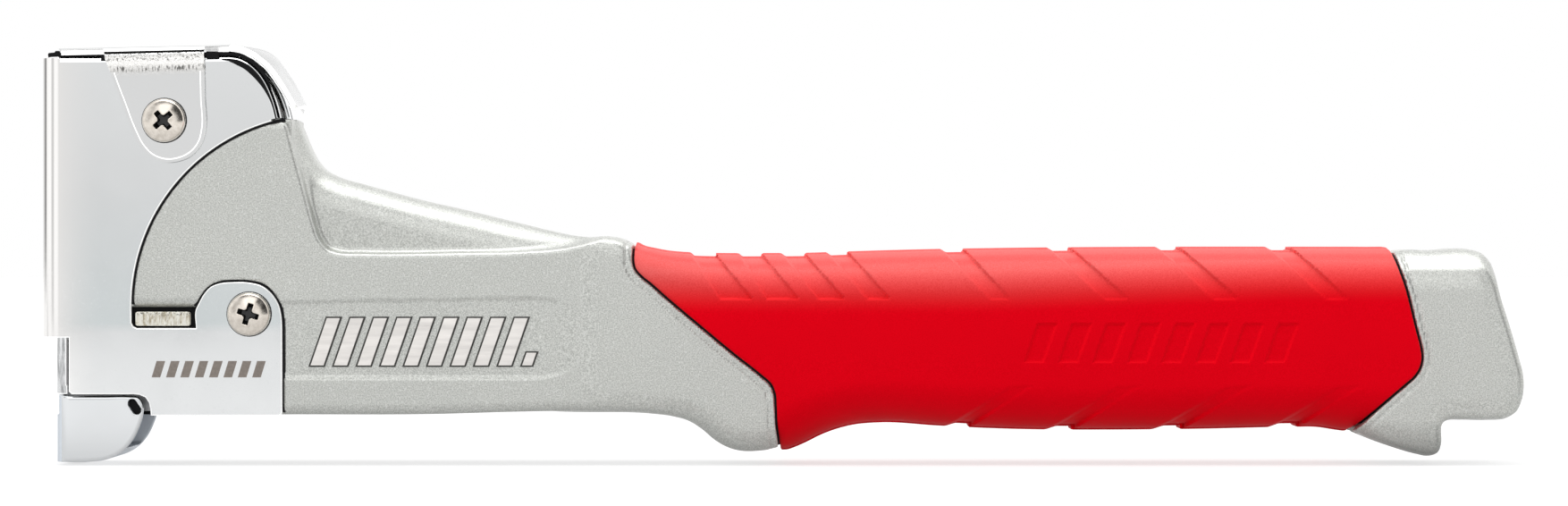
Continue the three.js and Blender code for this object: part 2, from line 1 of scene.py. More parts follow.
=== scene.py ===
import math
import bmesh
import bpy
import numpy as np
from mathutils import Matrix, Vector


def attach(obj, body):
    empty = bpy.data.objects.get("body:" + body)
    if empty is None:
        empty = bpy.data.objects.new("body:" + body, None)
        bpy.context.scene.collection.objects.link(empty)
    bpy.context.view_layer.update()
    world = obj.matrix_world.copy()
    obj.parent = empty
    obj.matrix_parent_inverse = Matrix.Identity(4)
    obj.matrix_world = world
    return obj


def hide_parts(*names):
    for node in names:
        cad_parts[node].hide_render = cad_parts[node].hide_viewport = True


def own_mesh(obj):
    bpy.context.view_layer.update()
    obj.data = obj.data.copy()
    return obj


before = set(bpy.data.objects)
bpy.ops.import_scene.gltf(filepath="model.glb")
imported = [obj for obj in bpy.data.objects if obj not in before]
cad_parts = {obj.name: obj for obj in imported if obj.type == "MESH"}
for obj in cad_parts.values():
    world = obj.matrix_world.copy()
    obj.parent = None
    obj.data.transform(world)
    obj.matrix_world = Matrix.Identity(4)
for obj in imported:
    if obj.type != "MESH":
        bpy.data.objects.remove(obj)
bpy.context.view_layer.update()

MM = 0.001
scene = bpy.context.scene


# ------------------------------------------------------------------ distance fields (millimetres)
def curve(points, step=0.7):
    """A closed outline through the points, rounded between them. A third value of 1 keeps a point sharp."""
    P = np.array([p[:2] for p in points], float)
    sharp = np.array([len(p) > 2 and bool(p[2]) for p in points])
    n = len(P)
    D = np.roll(P, -1, 0) - P
    L = np.hypot(*D.T)
    U = D / L[:, None]
    prev_u, prev_l = np.roll(U, 1, 0), np.roll(L, 1)
    T = (U * prev_l[:, None] + prev_u * L[:, None]) / (L + prev_l)[:, None]
    out = []
    for i in range(n):
        j = (i + 1) % n
        t0 = U[i] if sharp[i] else T[i]
        t1 = U[i] if sharp[j] else T[j]
        k = max(1, int(math.ceil(L[i] / step)))
        if sharp[i] and sharp[j]:
            k = 1
        for a in np.arange(k) / k:
            h00, h10 = 2 * a**3 - 3 * a**2 + 1, a**3 - 2 * a**2 + a
            h01, h11 = -2 * a**3 + 3 * a**2, a**3 - a**2
            out.append(h00 * P[i] + h10 * L[i] * t0 + h01 * P[j] + h11 * L[i] * t1)
    return [tuple(p) for p in out]


class Field:
    """Signed distance to closed outlines in the side plane, kept on a fine grid; negative inside."""

    def __init__(self, loops, x0=-20.0, x1=332.0, z0=-14.0, z1=106.0, step=0.25, band=16.0):
        self.x0, self.z0, self.step = x0, z0, step
        xs, zs = np.arange(x0, x1 + step, step), np.arange(z0, z1 + step, step)
        best = np.full((len(xs), len(zs)), band * band)
        count = np.zeros((len(xs) + 1, len(zs)), np.int32)
        for loop in loops:
            P = np.array([p[:2] for p in loop], float)
            for (ax, az), (bx, bz) in zip(P, np.roll(P, -1, 0)):
                i0, i1 = np.searchsorted(xs, [min(ax, bx) - band, max(ax, bx) + band])
                j0, j1 = np.searchsorted(zs, [min(az, bz) - band, max(az, bz) + band])
                if i1 > i0 and j1 > j0:
                    X, Z = xs[i0:i1, None] - ax, zs[None, j0:j1] - az
                    ex, ez = bx - ax, bz - az
                    t = np.clip((X * ex + Z * ez) / (ex * ex + ez * ez + 1e-12), 0, 1)
                    d = (X - ex * t) ** 2 + (Z - ez * t) ** 2
                    best[i0:i1, j0:j1] = np.minimum(best[i0:i1, j0:j1], d)
                if az != bz:
                    k0, k1 = np.searchsorted(zs, [min(az, bz), max(az, bz)])
                    js = np.arange(k0, k1)
                    xi = ax + (zs[js] - az) * (bx - ax) / (bz - az)
                    ii = np.clip(np.searchsorted(xs, xi), 0, len(xs))
                    np.add.at(count, (ii, js), 1)
        crossings = count[::-1].cumsum(0)[::-1][1:]
        self.v = np.where(crossings % 2 == 1, -1, 1) * np.sqrt(best)

    def __call__(self, X, Z):
        u, w = (X - self.x0) / self.step, (Z - self.z0) / self.step
        i = np.clip(np.floor(u).astype(int), 0, self.v.shape[0] - 2)
        j = np.clip(np.floor(w).astype(int), 0, self.v.shape[1] - 2)
        a, b = np.clip(u - i, 0, 1), np.clip(w - j, 0, 1)
        v = self.v
        return (v[i, j] * (1 - a) + v[i + 1, j] * a) * (1 - b) + (v[i, j + 1] * (1 - a) + v[i + 1, j + 1] * a) * b


def both(a, b, r):
    """Intersection with an edge rounded to radius r."""
    return np.minimum(np.maximum(a, b), -r) + np.hypot(np.maximum(a + r, 0), np.maximum(b + r, 0))


def join(a, b, r):
    """Union with a fillet of radius r."""
    return np.maximum(np.minimum(a, b), r) - np.hypot(np.maximum(r - a, 0), np.maximum(r - b, 0))


def less(a, b, r):
    return both(a, -b, r)


def step01(v):
    v = np.clip(v, 0, 1)
    return v * v * (3 - 2 * v)


def surface(f, lo, hi, h):
    """Closed quad mesh of f = 0 inside a box, vertices moved onto the surface, with its normals."""
    lo, hi = np.array(lo, float), np.array(hi, float)
    n = np.ceil((hi - lo) / h).astype(int) + 1
    xs, ys, zs = (lo[k] + h * np.arange(n[k]) for k in range(3))
    F = np.broadcast_to(f(xs[:, None, None], ys[None, :, None], zs[None, None, :]), n).astype(np.float32)
    inside = F < 0
    c = sum(
        inside[i : n[0] - 1 + i, j : n[1] - 1 + j, k : n[2] - 1 + k].astype(np.uint8)
        for i in (0, 1)
        for j in (0, 1)
        for k in (0, 1)
    )
    active = (c > 0) & (c < 8)
    cells = np.argwhere(active)
    index = np.full(active.shape, -1, np.int64)
    index[active] = np.arange(len(cells))
    corners = [(i, j, k) for i in (0, 1) for j in (0, 1) for k in (0, 1)]
    V = np.stack([F[cells[:, 0] + i, cells[:, 1] + j, cells[:, 2] + k] for i, j, k in corners], 1)
    total, count = np.zeros((len(cells), 3)), np.zeros(len(cells))
    for a in range(8):
        for b in range(a + 1, 8):
            d = np.array(corners[b]) - np.array(corners[a])
            if np.abs(d).sum() != 1:
                continue
            m = (V[:, a] < 0) != (V[:, b] < 0)
            t = V[m, a] / (V[m, a] - V[m, b])
            total[m] += np.array(corners[a]) + t[:, None] * d
            count[m] += 1
    P = lo + h * (cells + total / count[:, None])
    quads = []
    for axis in range(3):
        u, w = [k for k in range(3) if k != axis]
        sl0, sl1 = [slice(None)] * 3, [slice(None)] * 3
        sl0[axis], sl1[axis] = slice(0, -1), slice(1, None)
        A, B = inside[tuple(sl0)], inside[tuple(sl1)]
        E = np.argwhere(A != B)
        E = E[(E[:, u] > 0) & (E[:, w] > 0) & (E[:, u] < n[u] - 1) & (E[:, w] < n[w] - 1)]
        flip = A[tuple(E.T)]
        ring = []
        for du, dw in ((-1, -1), (0, -1), (0, 0), (-1, 0)):
            q = E.copy()
            q[:, u] += du
            q[:, w] += dw
            ring.append(index[tuple(q.T)])
        Q = np.stack(ring, 1)
        if axis == 1:
            flip = ~flip
        Q[~flip] = Q[~flip][:, ::-1]
        quads.append(Q)
    quads = np.concatenate(quads)

    def grad(P, e):
        g = np.zeros_like(P)
        for k in range(3):
            d = np.zeros(3)
            d[k] = e
            a, b = P + d, P - d
            g[:, k] = (f(a[:, 0], a[:, 1], a[:, 2]) - f(b[:, 0], b[:, 1], b[:, 2])) / (2 * e)
        return g

    for _ in range(3):
        v = f(P[:, 0], P[:, 1], P[:, 2])
        g = grad(P, 0.08)
        s = v / np.maximum((g * g).sum(1), 0.2)
        P = P - g * np.clip(s, -0.4 * h, 0.4 * h)[:, None]
    g = grad(P, 0.12)
    return P, quads, g / np.maximum(np.linalg.norm(g, axis=1), 1e-9)[:, None]


# ------------------------------------------------------------------ making pieces
def finish(ob, body, material, nodes=()):
    ob.data.materials.clear()
    ob.data.materials.append(material)
    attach(ob, body)
    if nodes:
        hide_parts(*nodes)
    return ob


def from_field(name, f, lo, hi, h, body, material, slot, *nodes):
    P, quads, normals = surface(f, lo, hi, h)
    me = bpy.data.meshes.new(name)
    me.from_pydata((P * MM).tolist(), [], quads.tolist())
    me.validate(clean_customdata=False)
    me.polygons.foreach_set("use_smooth", np.ones(len(me.polygons), bool))
    if len(normals) == len(me.vertices):
        me.normals_split_custom_set_from_vertices(normals.tolist())
    ob = bpy.data.objects.new(name, me)
    scene.collection.objects.link(ob)
    print("piece", name, len(me.polygons), "faces")
    return finish(ob, body, material, nodes)


def from_bmesh(name, bm, body, material, slot, *nodes, angle=32):
    bmesh.ops.recalc_face_normals(bm, faces=bm.faces[:])
    for v in bm.verts:
        v.co *= MM
    me = bpy.data.meshes.new(name)
    bm.to_mesh(me)
    bm.free()
    me.polygons.foreach_set("use_smooth", np.ones(len(me.polygons), bool))
    me.set_sharp_from_angle(angle=math.radians(angle))
    ob = bpy.data.objects.new(name, me)
    scene.collection.objects.link(ob)
    rim_faces = None
    if "fold_flat" in me.attributes:
        rim_faces = exact_normals(me)
    else:
        w = ob.modifiers.new("normals", "WEIGHTED_NORMAL")
        w.keep_sharp = True
    print("piece", name, len(me.polygons), "faces")
    finish(ob, body, material, nodes)
    # the sheet's rim faces take the glowing edge material, a painted highlight
    if rim_faces is not None:
        me.materials.append(glowing_edge)
        me.polygons.foreach_set("material_index", rim_faces)
    return ob


def exact_normals(me):
    nv, nf, nl = len(me.vertices), len(me.polygons), len(me.loops)
    kept, flag = np.empty(nv * 3, np.float32), np.empty(nf, np.int32)
    me.attributes["fold_normal"].data.foreach_get("vector", kept)
    me.attributes["fold_flat"].data.foreach_get("value", flag)
    kept = kept.reshape(-1, 3)
    vert, total, corner, facing = np.empty(nl, np.int32), np.empty(nf, np.int32), np.empty(nl * 3, np.float32), np.empty(nf * 3, np.float32)
    me.loops.foreach_get("vertex_index", vert)
    me.polygons.foreach_get("loop_total", total)
    me.polygons.foreach_get("normal", facing)
    me.corner_normals.foreach_get("vector", corner)
    corner, facing = corner.reshape(-1, 3), facing.reshape(-1, 3)
    face = np.repeat(np.arange(nf), total)
    own = kept[vert]
    sign = np.sign((own * facing[face]).sum(1))
    use = (flag[face] == 1) & (np.abs((own * facing[face]).sum(1)) > 0.9) & (np.linalg.norm(own, axis=1) > 0.5)
    corner[use] = (own * sign[:, None])[use]
    me.normals_split_custom_set(corner.tolist())
    me.attributes.remove(me.attributes["fold_flat"])
    me.attributes.remove(me.attributes["fold_normal"])
    return (flag == 2).astype(np.int32)


def plate(loops, thick, bevel=0.25, res=2):
    """Rounded-edge plate: outlines in (u, v), from w = 0 down to w = -thick."""
    cu = bpy.data.curves.new("plate", "CURVE")
    cu.dimensions, cu.fill_mode = "2D", "BOTH"
    cu.extrude, cu.bevel_depth, cu.bevel_resolution, cu.offset = thick / 2 - bevel, bevel, res, -bevel
    for loop in loops:
        sp = cu.splines.new("POLY")
        sp.points.add(len(loop) - 1)
        for p, q in zip(sp.points, loop):
            p.co = (q[0], q[1], 0, 1)
        sp.use_cyclic_u = True
    ob = bpy.data.objects.new("plate", cu)
    scene.collection.objects.link(ob)
    me = bpy.data.meshes.new_from_object(ob.evaluated_get(bpy.context.evaluated_depsgraph_get()))
    bpy.data.objects.remove(ob)
    bpy.data.curves.remove(cu)
    bm = bmesh.new()
    bm.from_mesh(me)
    bpy.data.meshes.remove(me)
    bmesh.ops.remove_doubles(bm, verts=bm.verts[:], dist=2e-4)
    for v in bm.verts:
        v.co.z -= thick / 2
    return bm


def cut(bm, axis, values):
    for c in values:
        co, no = [0, 0, 0], [0, 0, 0]
        co[axis], no[axis] = c, 1
        bmesh.ops.bisect_plane(bm, geom=bm.verts[:] + bm.edges[:] + bm.faces[:], plane_co=co, plane_no=no, dist=1e-4)


def place(bm, mapping):
    return move(bm, mapping)


def fold(bm, mapping):
    """Fold flat stock, keeping the exact sheet normal of every vertex for its flat faces."""
    bm.normal_update()
    keep = bm.verts.layers.float_vector.new("fold_normal")
    flat_face = bm.faces.layers.int.new("fold_flat")
    for f in bm.faces:
        f[flat_face] = 1 if abs(f.normal.z) > 0.98 else 2
    for v in bm.verts:
        u, q, w = v.co
        n = Vector(mapping(u, q, w + 0.02)) - Vector(mapping(u, q, w))
        v[keep] = n.normalized()
    return move(bm, mapping)


def move(bm, mapping):
    for v in bm.verts:
        v.co = mapping(*v.co)
    return bm


def merge(*bms):
    out = bmesh.new()
    for b in bms:
        me = bpy.data.meshes.new("m")
        b.to_mesh(me)
        b.free()
        out.from_mesh(me)
        bpy.data.meshes.remove(me)
    return out


def sweep(path, profile):
    """A closed profile of (outward, y) points run along a path of (x, z) points."""
    P = np.array(path, float)
    T = np.gradient(P, axis=0)
    T /= np.hypot(*T.T)[:, None]
    N = np.stack([-T[:, 1], T[:, 0]], 1)
    bm = bmesh.new()
    rows = [[bm.verts.new((p[0] + n[0] * a, y, p[1] + n[1] * a)) for a, y in profile] for p, n in zip(P, N)]
    m = len(profile)
    for r, s in zip(rows, rows[1:]):
        for j in range(m):
            bm.faces.new((r[j], r[(j + 1) % m], s[(j + 1) % m], s[j]))
    bm.faces.new(rows[0][::-1])
    bm.faces.new(rows[-1])
    return bm


def tube(points, r, sides=10):
    """Round wire along points, with rounded-off ends."""
    P = np.array(points, float)
    T = np.gradient(P, axis=0)
    T /= np.linalg.norm(T, axis=1)[:, None]
    ref = np.array([0.0, 0.0, 1.0]) if abs(T[0][2]) < 0.9 else np.array([1.0, 0, 0])
    N = ref - T[0] * (ref @ T[0])
    bm, rows = bmesh.new(), []
    for p, t in zip(P, T):
        N = N - t * (N @ t)
        N /= np.linalg.norm(N)
        B = np.cross(t, N)
        rows.append([bm.verts.new(p + r * (math.cos(a) * N + math.sin(a) * B)) for a in np.arange(sides) * 2 * math.pi / sides])
    for a, b in zip(rows, rows[1:]):
        for j in range(sides):
            bm.faces.new((a[j], a[(j + 1) % sides], b[(j + 1) % sides], b[j]))
    bm.faces.new(rows[0][::-1])
    bm.faces.new(rows[-1])
    return bm


# ------------------------------------------------------------------ materials
class Mat:
    def __init__(self, name, base=(0.8, 0.8, 0.8), metallic=0.0, rough=0.5, **extra):
        self.m = bpy.data.materials.new(name)
        self.m.use_nodes = True
        self.t = self.m.node_tree
        self.b = next(n for n in self.t.nodes if n.type == "BSDF_PRINCIPLED")
        self.b.inputs["Base Color"].default_value = (*base, 1)
        self.b.inputs["Metallic"].default_value = metallic
        self.b.inputs["Roughness"].default_value = rough
        for k, v in extra.items():
            self.b.inputs[k.replace("_", " ")].default_value = v
        self.coord = self.t.nodes.new("ShaderNodeTexCoord").outputs["Object"]

    def node(self, kind, **settings):
        n = self.t.nodes.new(kind)
        for k, v in settings.items():
            setattr(n, k, v)
        return n

    def scaled(self, x, y, z):
        n = self.node("ShaderNodeMapping")
        n.inputs["Scale"].default_value = (x, y, z)
        self.t.links.new(self.coord, n.inputs["Vector"])
        return n.outputs[0]

    def noise(self, scale, detail=3, rough=0.55, vector=None, distortion=0.0):
        n = self.node("ShaderNodeTexNoise")
        n.inputs["Scale"].default_value = scale
        n.inputs["Detail"].default_value = detail
        n.inputs["Roughness"].default_value = rough
        n.inputs["Distortion"].default_value = distortion
        self.t.links.new(vector or self.coord, n.inputs["Vector"])
        return n.outputs["Fac"]

    def cells(self, scale, out="Color"):
        n = self.node("ShaderNodeTexVoronoi")
        n.inputs["Scale"].default_value = scale
        self.t.links.new(self.coord, n.inputs["Vector"])
        return n.outputs[out]

    def spread(self, value, lo, hi, a, b):
        n = self.node("ShaderNodeMapRange")
        for k, v in zip(("From Min", "From Max", "To Min", "To Max"), (lo, hi, a, b)):
            n.inputs[k].default_value = v
        self.t.links.new(value, n.inputs["Value"])
        return n.outputs[0]

    def math(self, op, a, b):
        n = self.node("ShaderNodeMath", operation=op)
        for k, v in enumerate((a, b)):
            if isinstance(v, (int, float)):
                n.inputs[k].default_value = v
            else:
                self.t.links.new(v, n.inputs[k])
        return n.outputs[0]

    def mix(self, fac, a, b):
        n = self.node("ShaderNodeMix", data_type="RGBA")
        for key, v in (("Factor", fac), ("A", a), ("B", b)):
            socket = next(s for s in n.inputs if s.name == key and s.enabled)
            if isinstance(v, tuple):
                socket.default_value = (*v, 1)
            elif isinstance(v, (int, float)):
                socket.default_value = v
            else:
                self.t.links.new(v, socket)
        return next(s for s in n.outputs if s.enabled)

    def edge(self, lo=0.505, hi=0.56):
        g = self.node("ShaderNodeNewGeometry").outputs["Pointiness"]
        return self.spread(g, lo, hi, 0, 1)

    def to(self, value, name):
        self.t.links.new(value, self.b.inputs[name])

    def bump(self, height, strength, distance_mm):
        n = self.node("ShaderNodeBump")
        n.inputs["Strength"].default_value = strength
        n.inputs["Distance"].default_value = distance_mm * MM
        self.t.links.new(height, n.inputs["Height"])
        if self.b.inputs["Normal"].is_linked:
            self.t.links.new(self.b.inputs["Normal"].links[0].from_socket, n.inputs["Normal"])
        self.t.links.new(n.outputs[0], self.b.inputs["Normal"])


def make_paint():
    m = Mat("silver_casting_paint", metallic=0.6, rough=0.34)
    grain = m.noise(3600, 2, 0.7)
    flake = m.cells(2600)
    cloud = m.noise(60, 3)
    base = m.mix(m.spread(grain, 0.36, 0.64, 0, 1), (0.425, 0.435, 0.41), (0.745, 0.755, 0.72))
    base = m.mix(m.math("MULTIPLY", m.spread(flake, 0.75, 1.0, 0, 1), 0.5), base, (0.86, 0.87, 0.85))
    base = m.mix(m.spread(cloud, 0.3, 0.7, 0.0, 0.12), base, (0.42, 0.43, 0.42))
    spot = m.node("ShaderNodeSeparateXYZ")
    m.t.links.new(m.coord, spot.inputs[0])
    # painted shade: the paint darkens towards the bottom of the hook and guard, below about 9 mm, where their
    # undersides fall in shade
    painted_underside_shade = m.math("MULTIPLY", m.spread(spot.outputs["Z"], 0.0092, 0.0012, 0, 1), m.spread(spot.outputs["X"], 0.150, 0.285, 0.16, 0.66))
    base = m.mix(painted_underside_shade, base, (0.13, 0.13, 0.125))
    m.to(base, "Base Color")
    m.to(m.spread(grain, 0.3, 0.7, 0.28, 0.42), "Roughness")
    m.bump(grain, 0.5, 0.05)
    m.bump(m.noise(420, 2), 0.12, 0.12)
    return m.m


def make_chrome(name="chrome_plate", rough=0.085, tint=(0.770, 0.782, 0.786)):
    m = Mat(name, base=tint, metallic=1.0, rough=rough)
    haze = m.noise(45, 4, 0.6)
    fine = m.noise(2400, 2, 0.5)
    sep = m.node("ShaderNodeSeparateXYZ")
    m.t.links.new(m.coord, sep.inputs[0])
    # painted reflection: the plating turns lighter and warmer towards the front of the head (ahead), mixed in below
    ahead = m.math("POWER", m.spread(sep.outputs["X"], 0.0062, -0.004, 0, 1), 1.8)
    plate = m.mix(m.spread(haze, 0.3, 0.7, 0, 1), tuple(c * 0.965 for c in tint), tint)
    # painted reflection: lighter towards the top
    plate = m.mix(m.spread(sep.outputs["Z"], 0.058, 0.088, 0, 1), plate, tuple(c * 1.06 for c in tint))
    # painted reflection: bluer and darker at mid-height
    painted_mid_reflection = m.math("MULTIPLY", m.spread(sep.outputs["Z"], 0.062, 0.031, 0, 1), m.spread(sep.outputs["Z"], 0.0284, 0.0306, 0, 1))
    plate = m.mix(painted_mid_reflection, plate, (tint[0] * 0.875, tint[1] * 0.915, tint[2] * 0.918))
    # painted shade: darker near the bottom
    plate = m.mix(m.spread(sep.outputs["Z"], 0.0235, 0.0185, 0, 1), plate, tuple(c * 0.95 for c in tint))
    m.to(m.mix(ahead, plate, (0.88, 0.868, 0.855)), "Base Color")
    m.to(m.math("ADD", m.spread(haze, 0.35, 0.7, rough * 0.7, rough * 1.5), m.spread(fine, 0.62, 0.75, 0, 0.08)), "Roughness")
    m.bump(m.noise(70, 2), 0.04, 0.10)
    m.bump(fine, 0.02, 0.02)
    return m.m


def make_glowing_edge():
    """Tumbled edge of the plated sheet; a faint emission makes it glow brighter than its faces, a painted highlight."""
    m = Mat("sheet_edge_glow", metallic=1.0, rough=0.3)
    n = m.noise(1500, 3)
    m.to(m.mix(m.spread(n, 0.35, 0.65, 0, 1), (0.93, 0.935, 0.93), (1.0, 1.0, 0.99)), "Base Color")
    m.to(m.spread(n, 0.3, 0.7, 0.25, 0.4), "Roughness")
    m.bump(n, 0.1, 0.03)
    # painted highlight: a faint white emission makes the edge glow
    m.b.inputs["Emission Color"].default_value = (1, 1, 1, 1)
    m.b.inputs["Emission Strength"].default_value = 0.36
    return m.m


def make_nickel():
    m = Mat("nickel_screw", base=(0.83, 0.77, 0.70), metallic=1.0, rough=0.16)
    n = m.noise(900, 3)
    m.to(m.mix(m.spread(n, 0.35, 0.65, 0, 1), (0.655, 0.60, 0.535), (0.80, 0.745, 0.675)), "Base Color")
    m.to(m.spread(n, 0.3, 0.7, 0.12, 0.26), "Roughness")
    m.bump(m.noise(1600, 2), 0.06, 0.03)
    return m.m


def make_rubber():
    m = Mat("red_grip_rubber", base=(0.82, 0.0, 0.008), rough=0.58, Specular_IOR_Level=0.3, Specular_Tint=(1.0, 0.02, 0.04, 1.0))
    grain = m.noise(4200, 2, 0.7)
    cloud = m.noise(90, 3)
    base = m.mix(m.spread(grain, 0.3, 0.7, 0, 1), (0.82, 0.0, 0.006), (0.95, 0.001, 0.012))
    base = m.mix(m.spread(cloud, 0.35, 0.7, 0, 0.10), base, (0.67, 0.0, 0.006))
    spot = m.node("ShaderNodeSeparateXYZ")
    m.t.links.new(m.coord, spot.inputs[0])
    rise = m.spread(m.math("SUBTRACT", spot.outputs["Z"], m.spread(spot.outputs["X"], 0.200, 0.265, 0.0007, 0.0032)), 0.0315, 0.0412, 0, 1)
    painted_sheen = m.math("MULTIPLY", m.math("POWER", rise, 2.0), m.spread(grain, 0.3, 0.7, 0.42, 0.72))
    # the pale band is a painted sheen in the base colour, seen side on: it leaves the top face when that is looked down
    # on
    facing = m.node("ShaderNodeLayerWeight")
    facing.inputs["Blend"].default_value = 0.5
    up = m.node("ShaderNodeSeparateXYZ")
    m.t.links.new(m.node("ShaderNodeNewGeometry").outputs["Normal"], up.inputs[0])
    gone = m.math("MULTIPLY", m.spread(facing.outputs["Facing"], 0.55, 0.25, 0, 0.85), m.spread(up.outputs["Z"], 0.70, 0.90, 0, 1))
    painted_sheen = m.math("MULTIPLY", painted_sheen, m.math("SUBTRACT", 1.0, gone))
    # painted shade: the rubber darkens towards the bottom, below about 18 mm
    low = m.spread(spot.outputs["Z"], 0.018, 0.006, 0, 0.22)
    base = m.mix(low, base, (0.43, 0.0, 0.003))
    m.to(m.mix(painted_sheen, base, (1.0, 0.26, 0.24)), "Base Color")
    m.to(m.spread(grain, 0.3, 0.7, 0.52, 0.66), "Roughness")
    m.bump(grain, 0.25, 0.04)
    return m.m


def make_steel(name="bare_steel", tone=0.5, rough=0.32, tint=(1.0, 1.005, 1.02)):
    m = Mat(name, base=(tone, tone, tone), metallic=1.0, rough=rough)
    streak = m.noise(400, 4, 0.6, vector=m.scaled(0.15, 1.6, 1.6))
    m.to(m.mix(m.spread(streak, 0.3, 0.7, 0, 1), tuple(0.86 * tone * c for c in tint), tuple(min(1.0, 1.12 * tone * c) for c in tint)), "Base Color")
    m.to(m.spread(streak, 0.3, 0.7, rough * 0.8, rough * 1.3), "Roughness")
    m.bump(streak, 0.08, 0.03)
    return m.m


def make_plastic(name, base, rough=0.45, sheen=0.5):
    m = Mat(name, base=base, rough=rough, Specular_IOR_Level=sheen)
    n = m.noise(2200, 2)
    m.to(m.mix(m.spread(n, 0.3, 0.7, 0, 1), tuple(c * 0.85 for c in base), tuple(min(1, c * 1.1) for c in base)), "Base Color")
    m.to(m.spread(n, 0.3, 0.7, rough - 0.06, rough + 0.08), "Roughness")
    m.bump(n, 0.15, 0.03)
    return m.m


def make_nose_chrome():
    """Plated outside, dull inside the two flanks; the lighter bluish base colour inside is painted light that lifts
    their shade.
    """
    m = Mat("nose_chrome", metallic=1.0, rough=0.09)
    sep = m.node("ShaderNodeSeparateXYZ")
    m.t.links.new(m.coord, sep.inputs[0])
    # painted light: the inside of the flanks gets a lighter bluish colour to lift their shade
    inside = m.spread(m.math("ABSOLUTE", sep.outputs["Y"], 0.0), 0.01286, 0.01280, 0, 1)
    haze = m.noise(45, 4, 0.6)
    m.to(m.mix(inside, (0.722, 0.738, 0.750), (0.78, 0.83, 0.89)), "Base Color")
    m.to(m.math("MAXIMUM", m.math("MULTIPLY", inside, 0.42), m.spread(haze, 0.35, 0.7, 0.07, 0.13)), "Roughness")
    m.to(m.spread(inside, 0, 1, 1.0, 0.55), "Metallic")
    m.bump(m.noise(70, 2), 0.05, 0.10)
    return m.m


def make_stroked():
    """Plated sheet with fine vertical draw marks."""
    m = Mat("drawn_chrome", metallic=1.0, rough=0.16)
    marks = m.noise(700, 3, 0.6, vector=m.scaled(1.5, 1.5, 0.3))
    m.to(m.mix(m.spread(marks, 0.35, 0.65, 0, 1), (0.30, 0.305, 0.31), (0.84, 0.85, 0.86)), "Base Color")
    m.to(m.spread(marks, 0.3, 0.7, 0.1, 0.25), "Roughness")
    m.bump(marks, 0.5, 0.12)
    return m.m


def make_strap_chrome():
    """Plated sheet with the stretch marks of the press along the ear bends, and a painted dark reflection line along
    the top bend.
    """
    m = Mat("strap_chrome", metallic=1.0, rough=0.09)
    sep = m.node("ShaderNodeSeparateXYZ")
    m.t.links.new(m.coord, sep.inputs[0])
    ahead = m.spread(sep.outputs["X"], 0.0290, 0.0282, 0, 1)
    z = m.math("SUBTRACT", sep.outputs["Z"], m.math("MULTIPLY", m.math("SUBTRACT", sep.outputs["X"], 0.0172), 0.028))
    zone = m.math("MULTIPLY", m.math("MULTIPLY", m.spread(z, 0.0846, 0.0860, 0, 1), m.spread(z, 0.0897, 0.0893, 0, 1)), ahead)
    specks = m.noise(3000, 3, 0.6, vector=m.scaled(0.8, 1, 0.7), distortion=0.6)
    row = m.math("MULTIPLY", m.spread(z, 0.0876, 0.0882, 0, 1), m.spread(z, 0.0896, 0.0890, 0, 1))
    drips = m.noise(2600, 2, 0.5, vector=m.scaled(1.0, 1, 0.22))
    fringe = m.math("MULTIPLY", m.spread(z, 0.0854, 0.0861, 0, 1), m.spread(z, 0.0872, 0.0866, 0, 1))
    # painted reflection: a dark wavering line along the top bend, standing in for a dark band of the room reflected
    # there
    dark_line_wobble = m.noise(1500, 3, 0.6, vector=m.scaled(1.0, 0.2, 0.2))
    away = m.math("ABSOLUTE", m.math("SUBTRACT", m.math("SUBTRACT", z, 0.08993), m.spread(dark_line_wobble, 0.3, 0.7, -0.00018, 0.00018)), 0.0)
    line = m.math("MULTIPLY", m.spread(away, 0.00030, 0.00016, 0, 1), m.spread(specks, 0.36, 0.44, 0.35, 1))
    dark = m.math("ADD", m.math("MULTIPLY", row, m.spread(specks, 0.55, 0.63, 0, 0.85)), m.math("MULTIPLY", fringe, m.spread(drips, 0.50, 0.60, 0, 0.85)))
    dark = m.math("MINIMUM", m.math("MULTIPLY", m.math("ADD", dark, line), ahead), 0.96)
    haze = m.noise(45, 4, 0.6)
    m.to(m.mix(dark, m.mix(zone, (0.785, 0.79, 0.79), (0.70, 0.692, 0.675)), (0.05, 0.048, 0.045)), "Base Color")
    m.to(m.math("ADD", m.spread(haze, 0.35, 0.7, 0.06, 0.12), m.math("MULTIPLY", zone, 0.05)), "Roughness")
    m.bump(m.math("MULTIPLY", specks, zone), 0.5, 0.15)
    return m.m


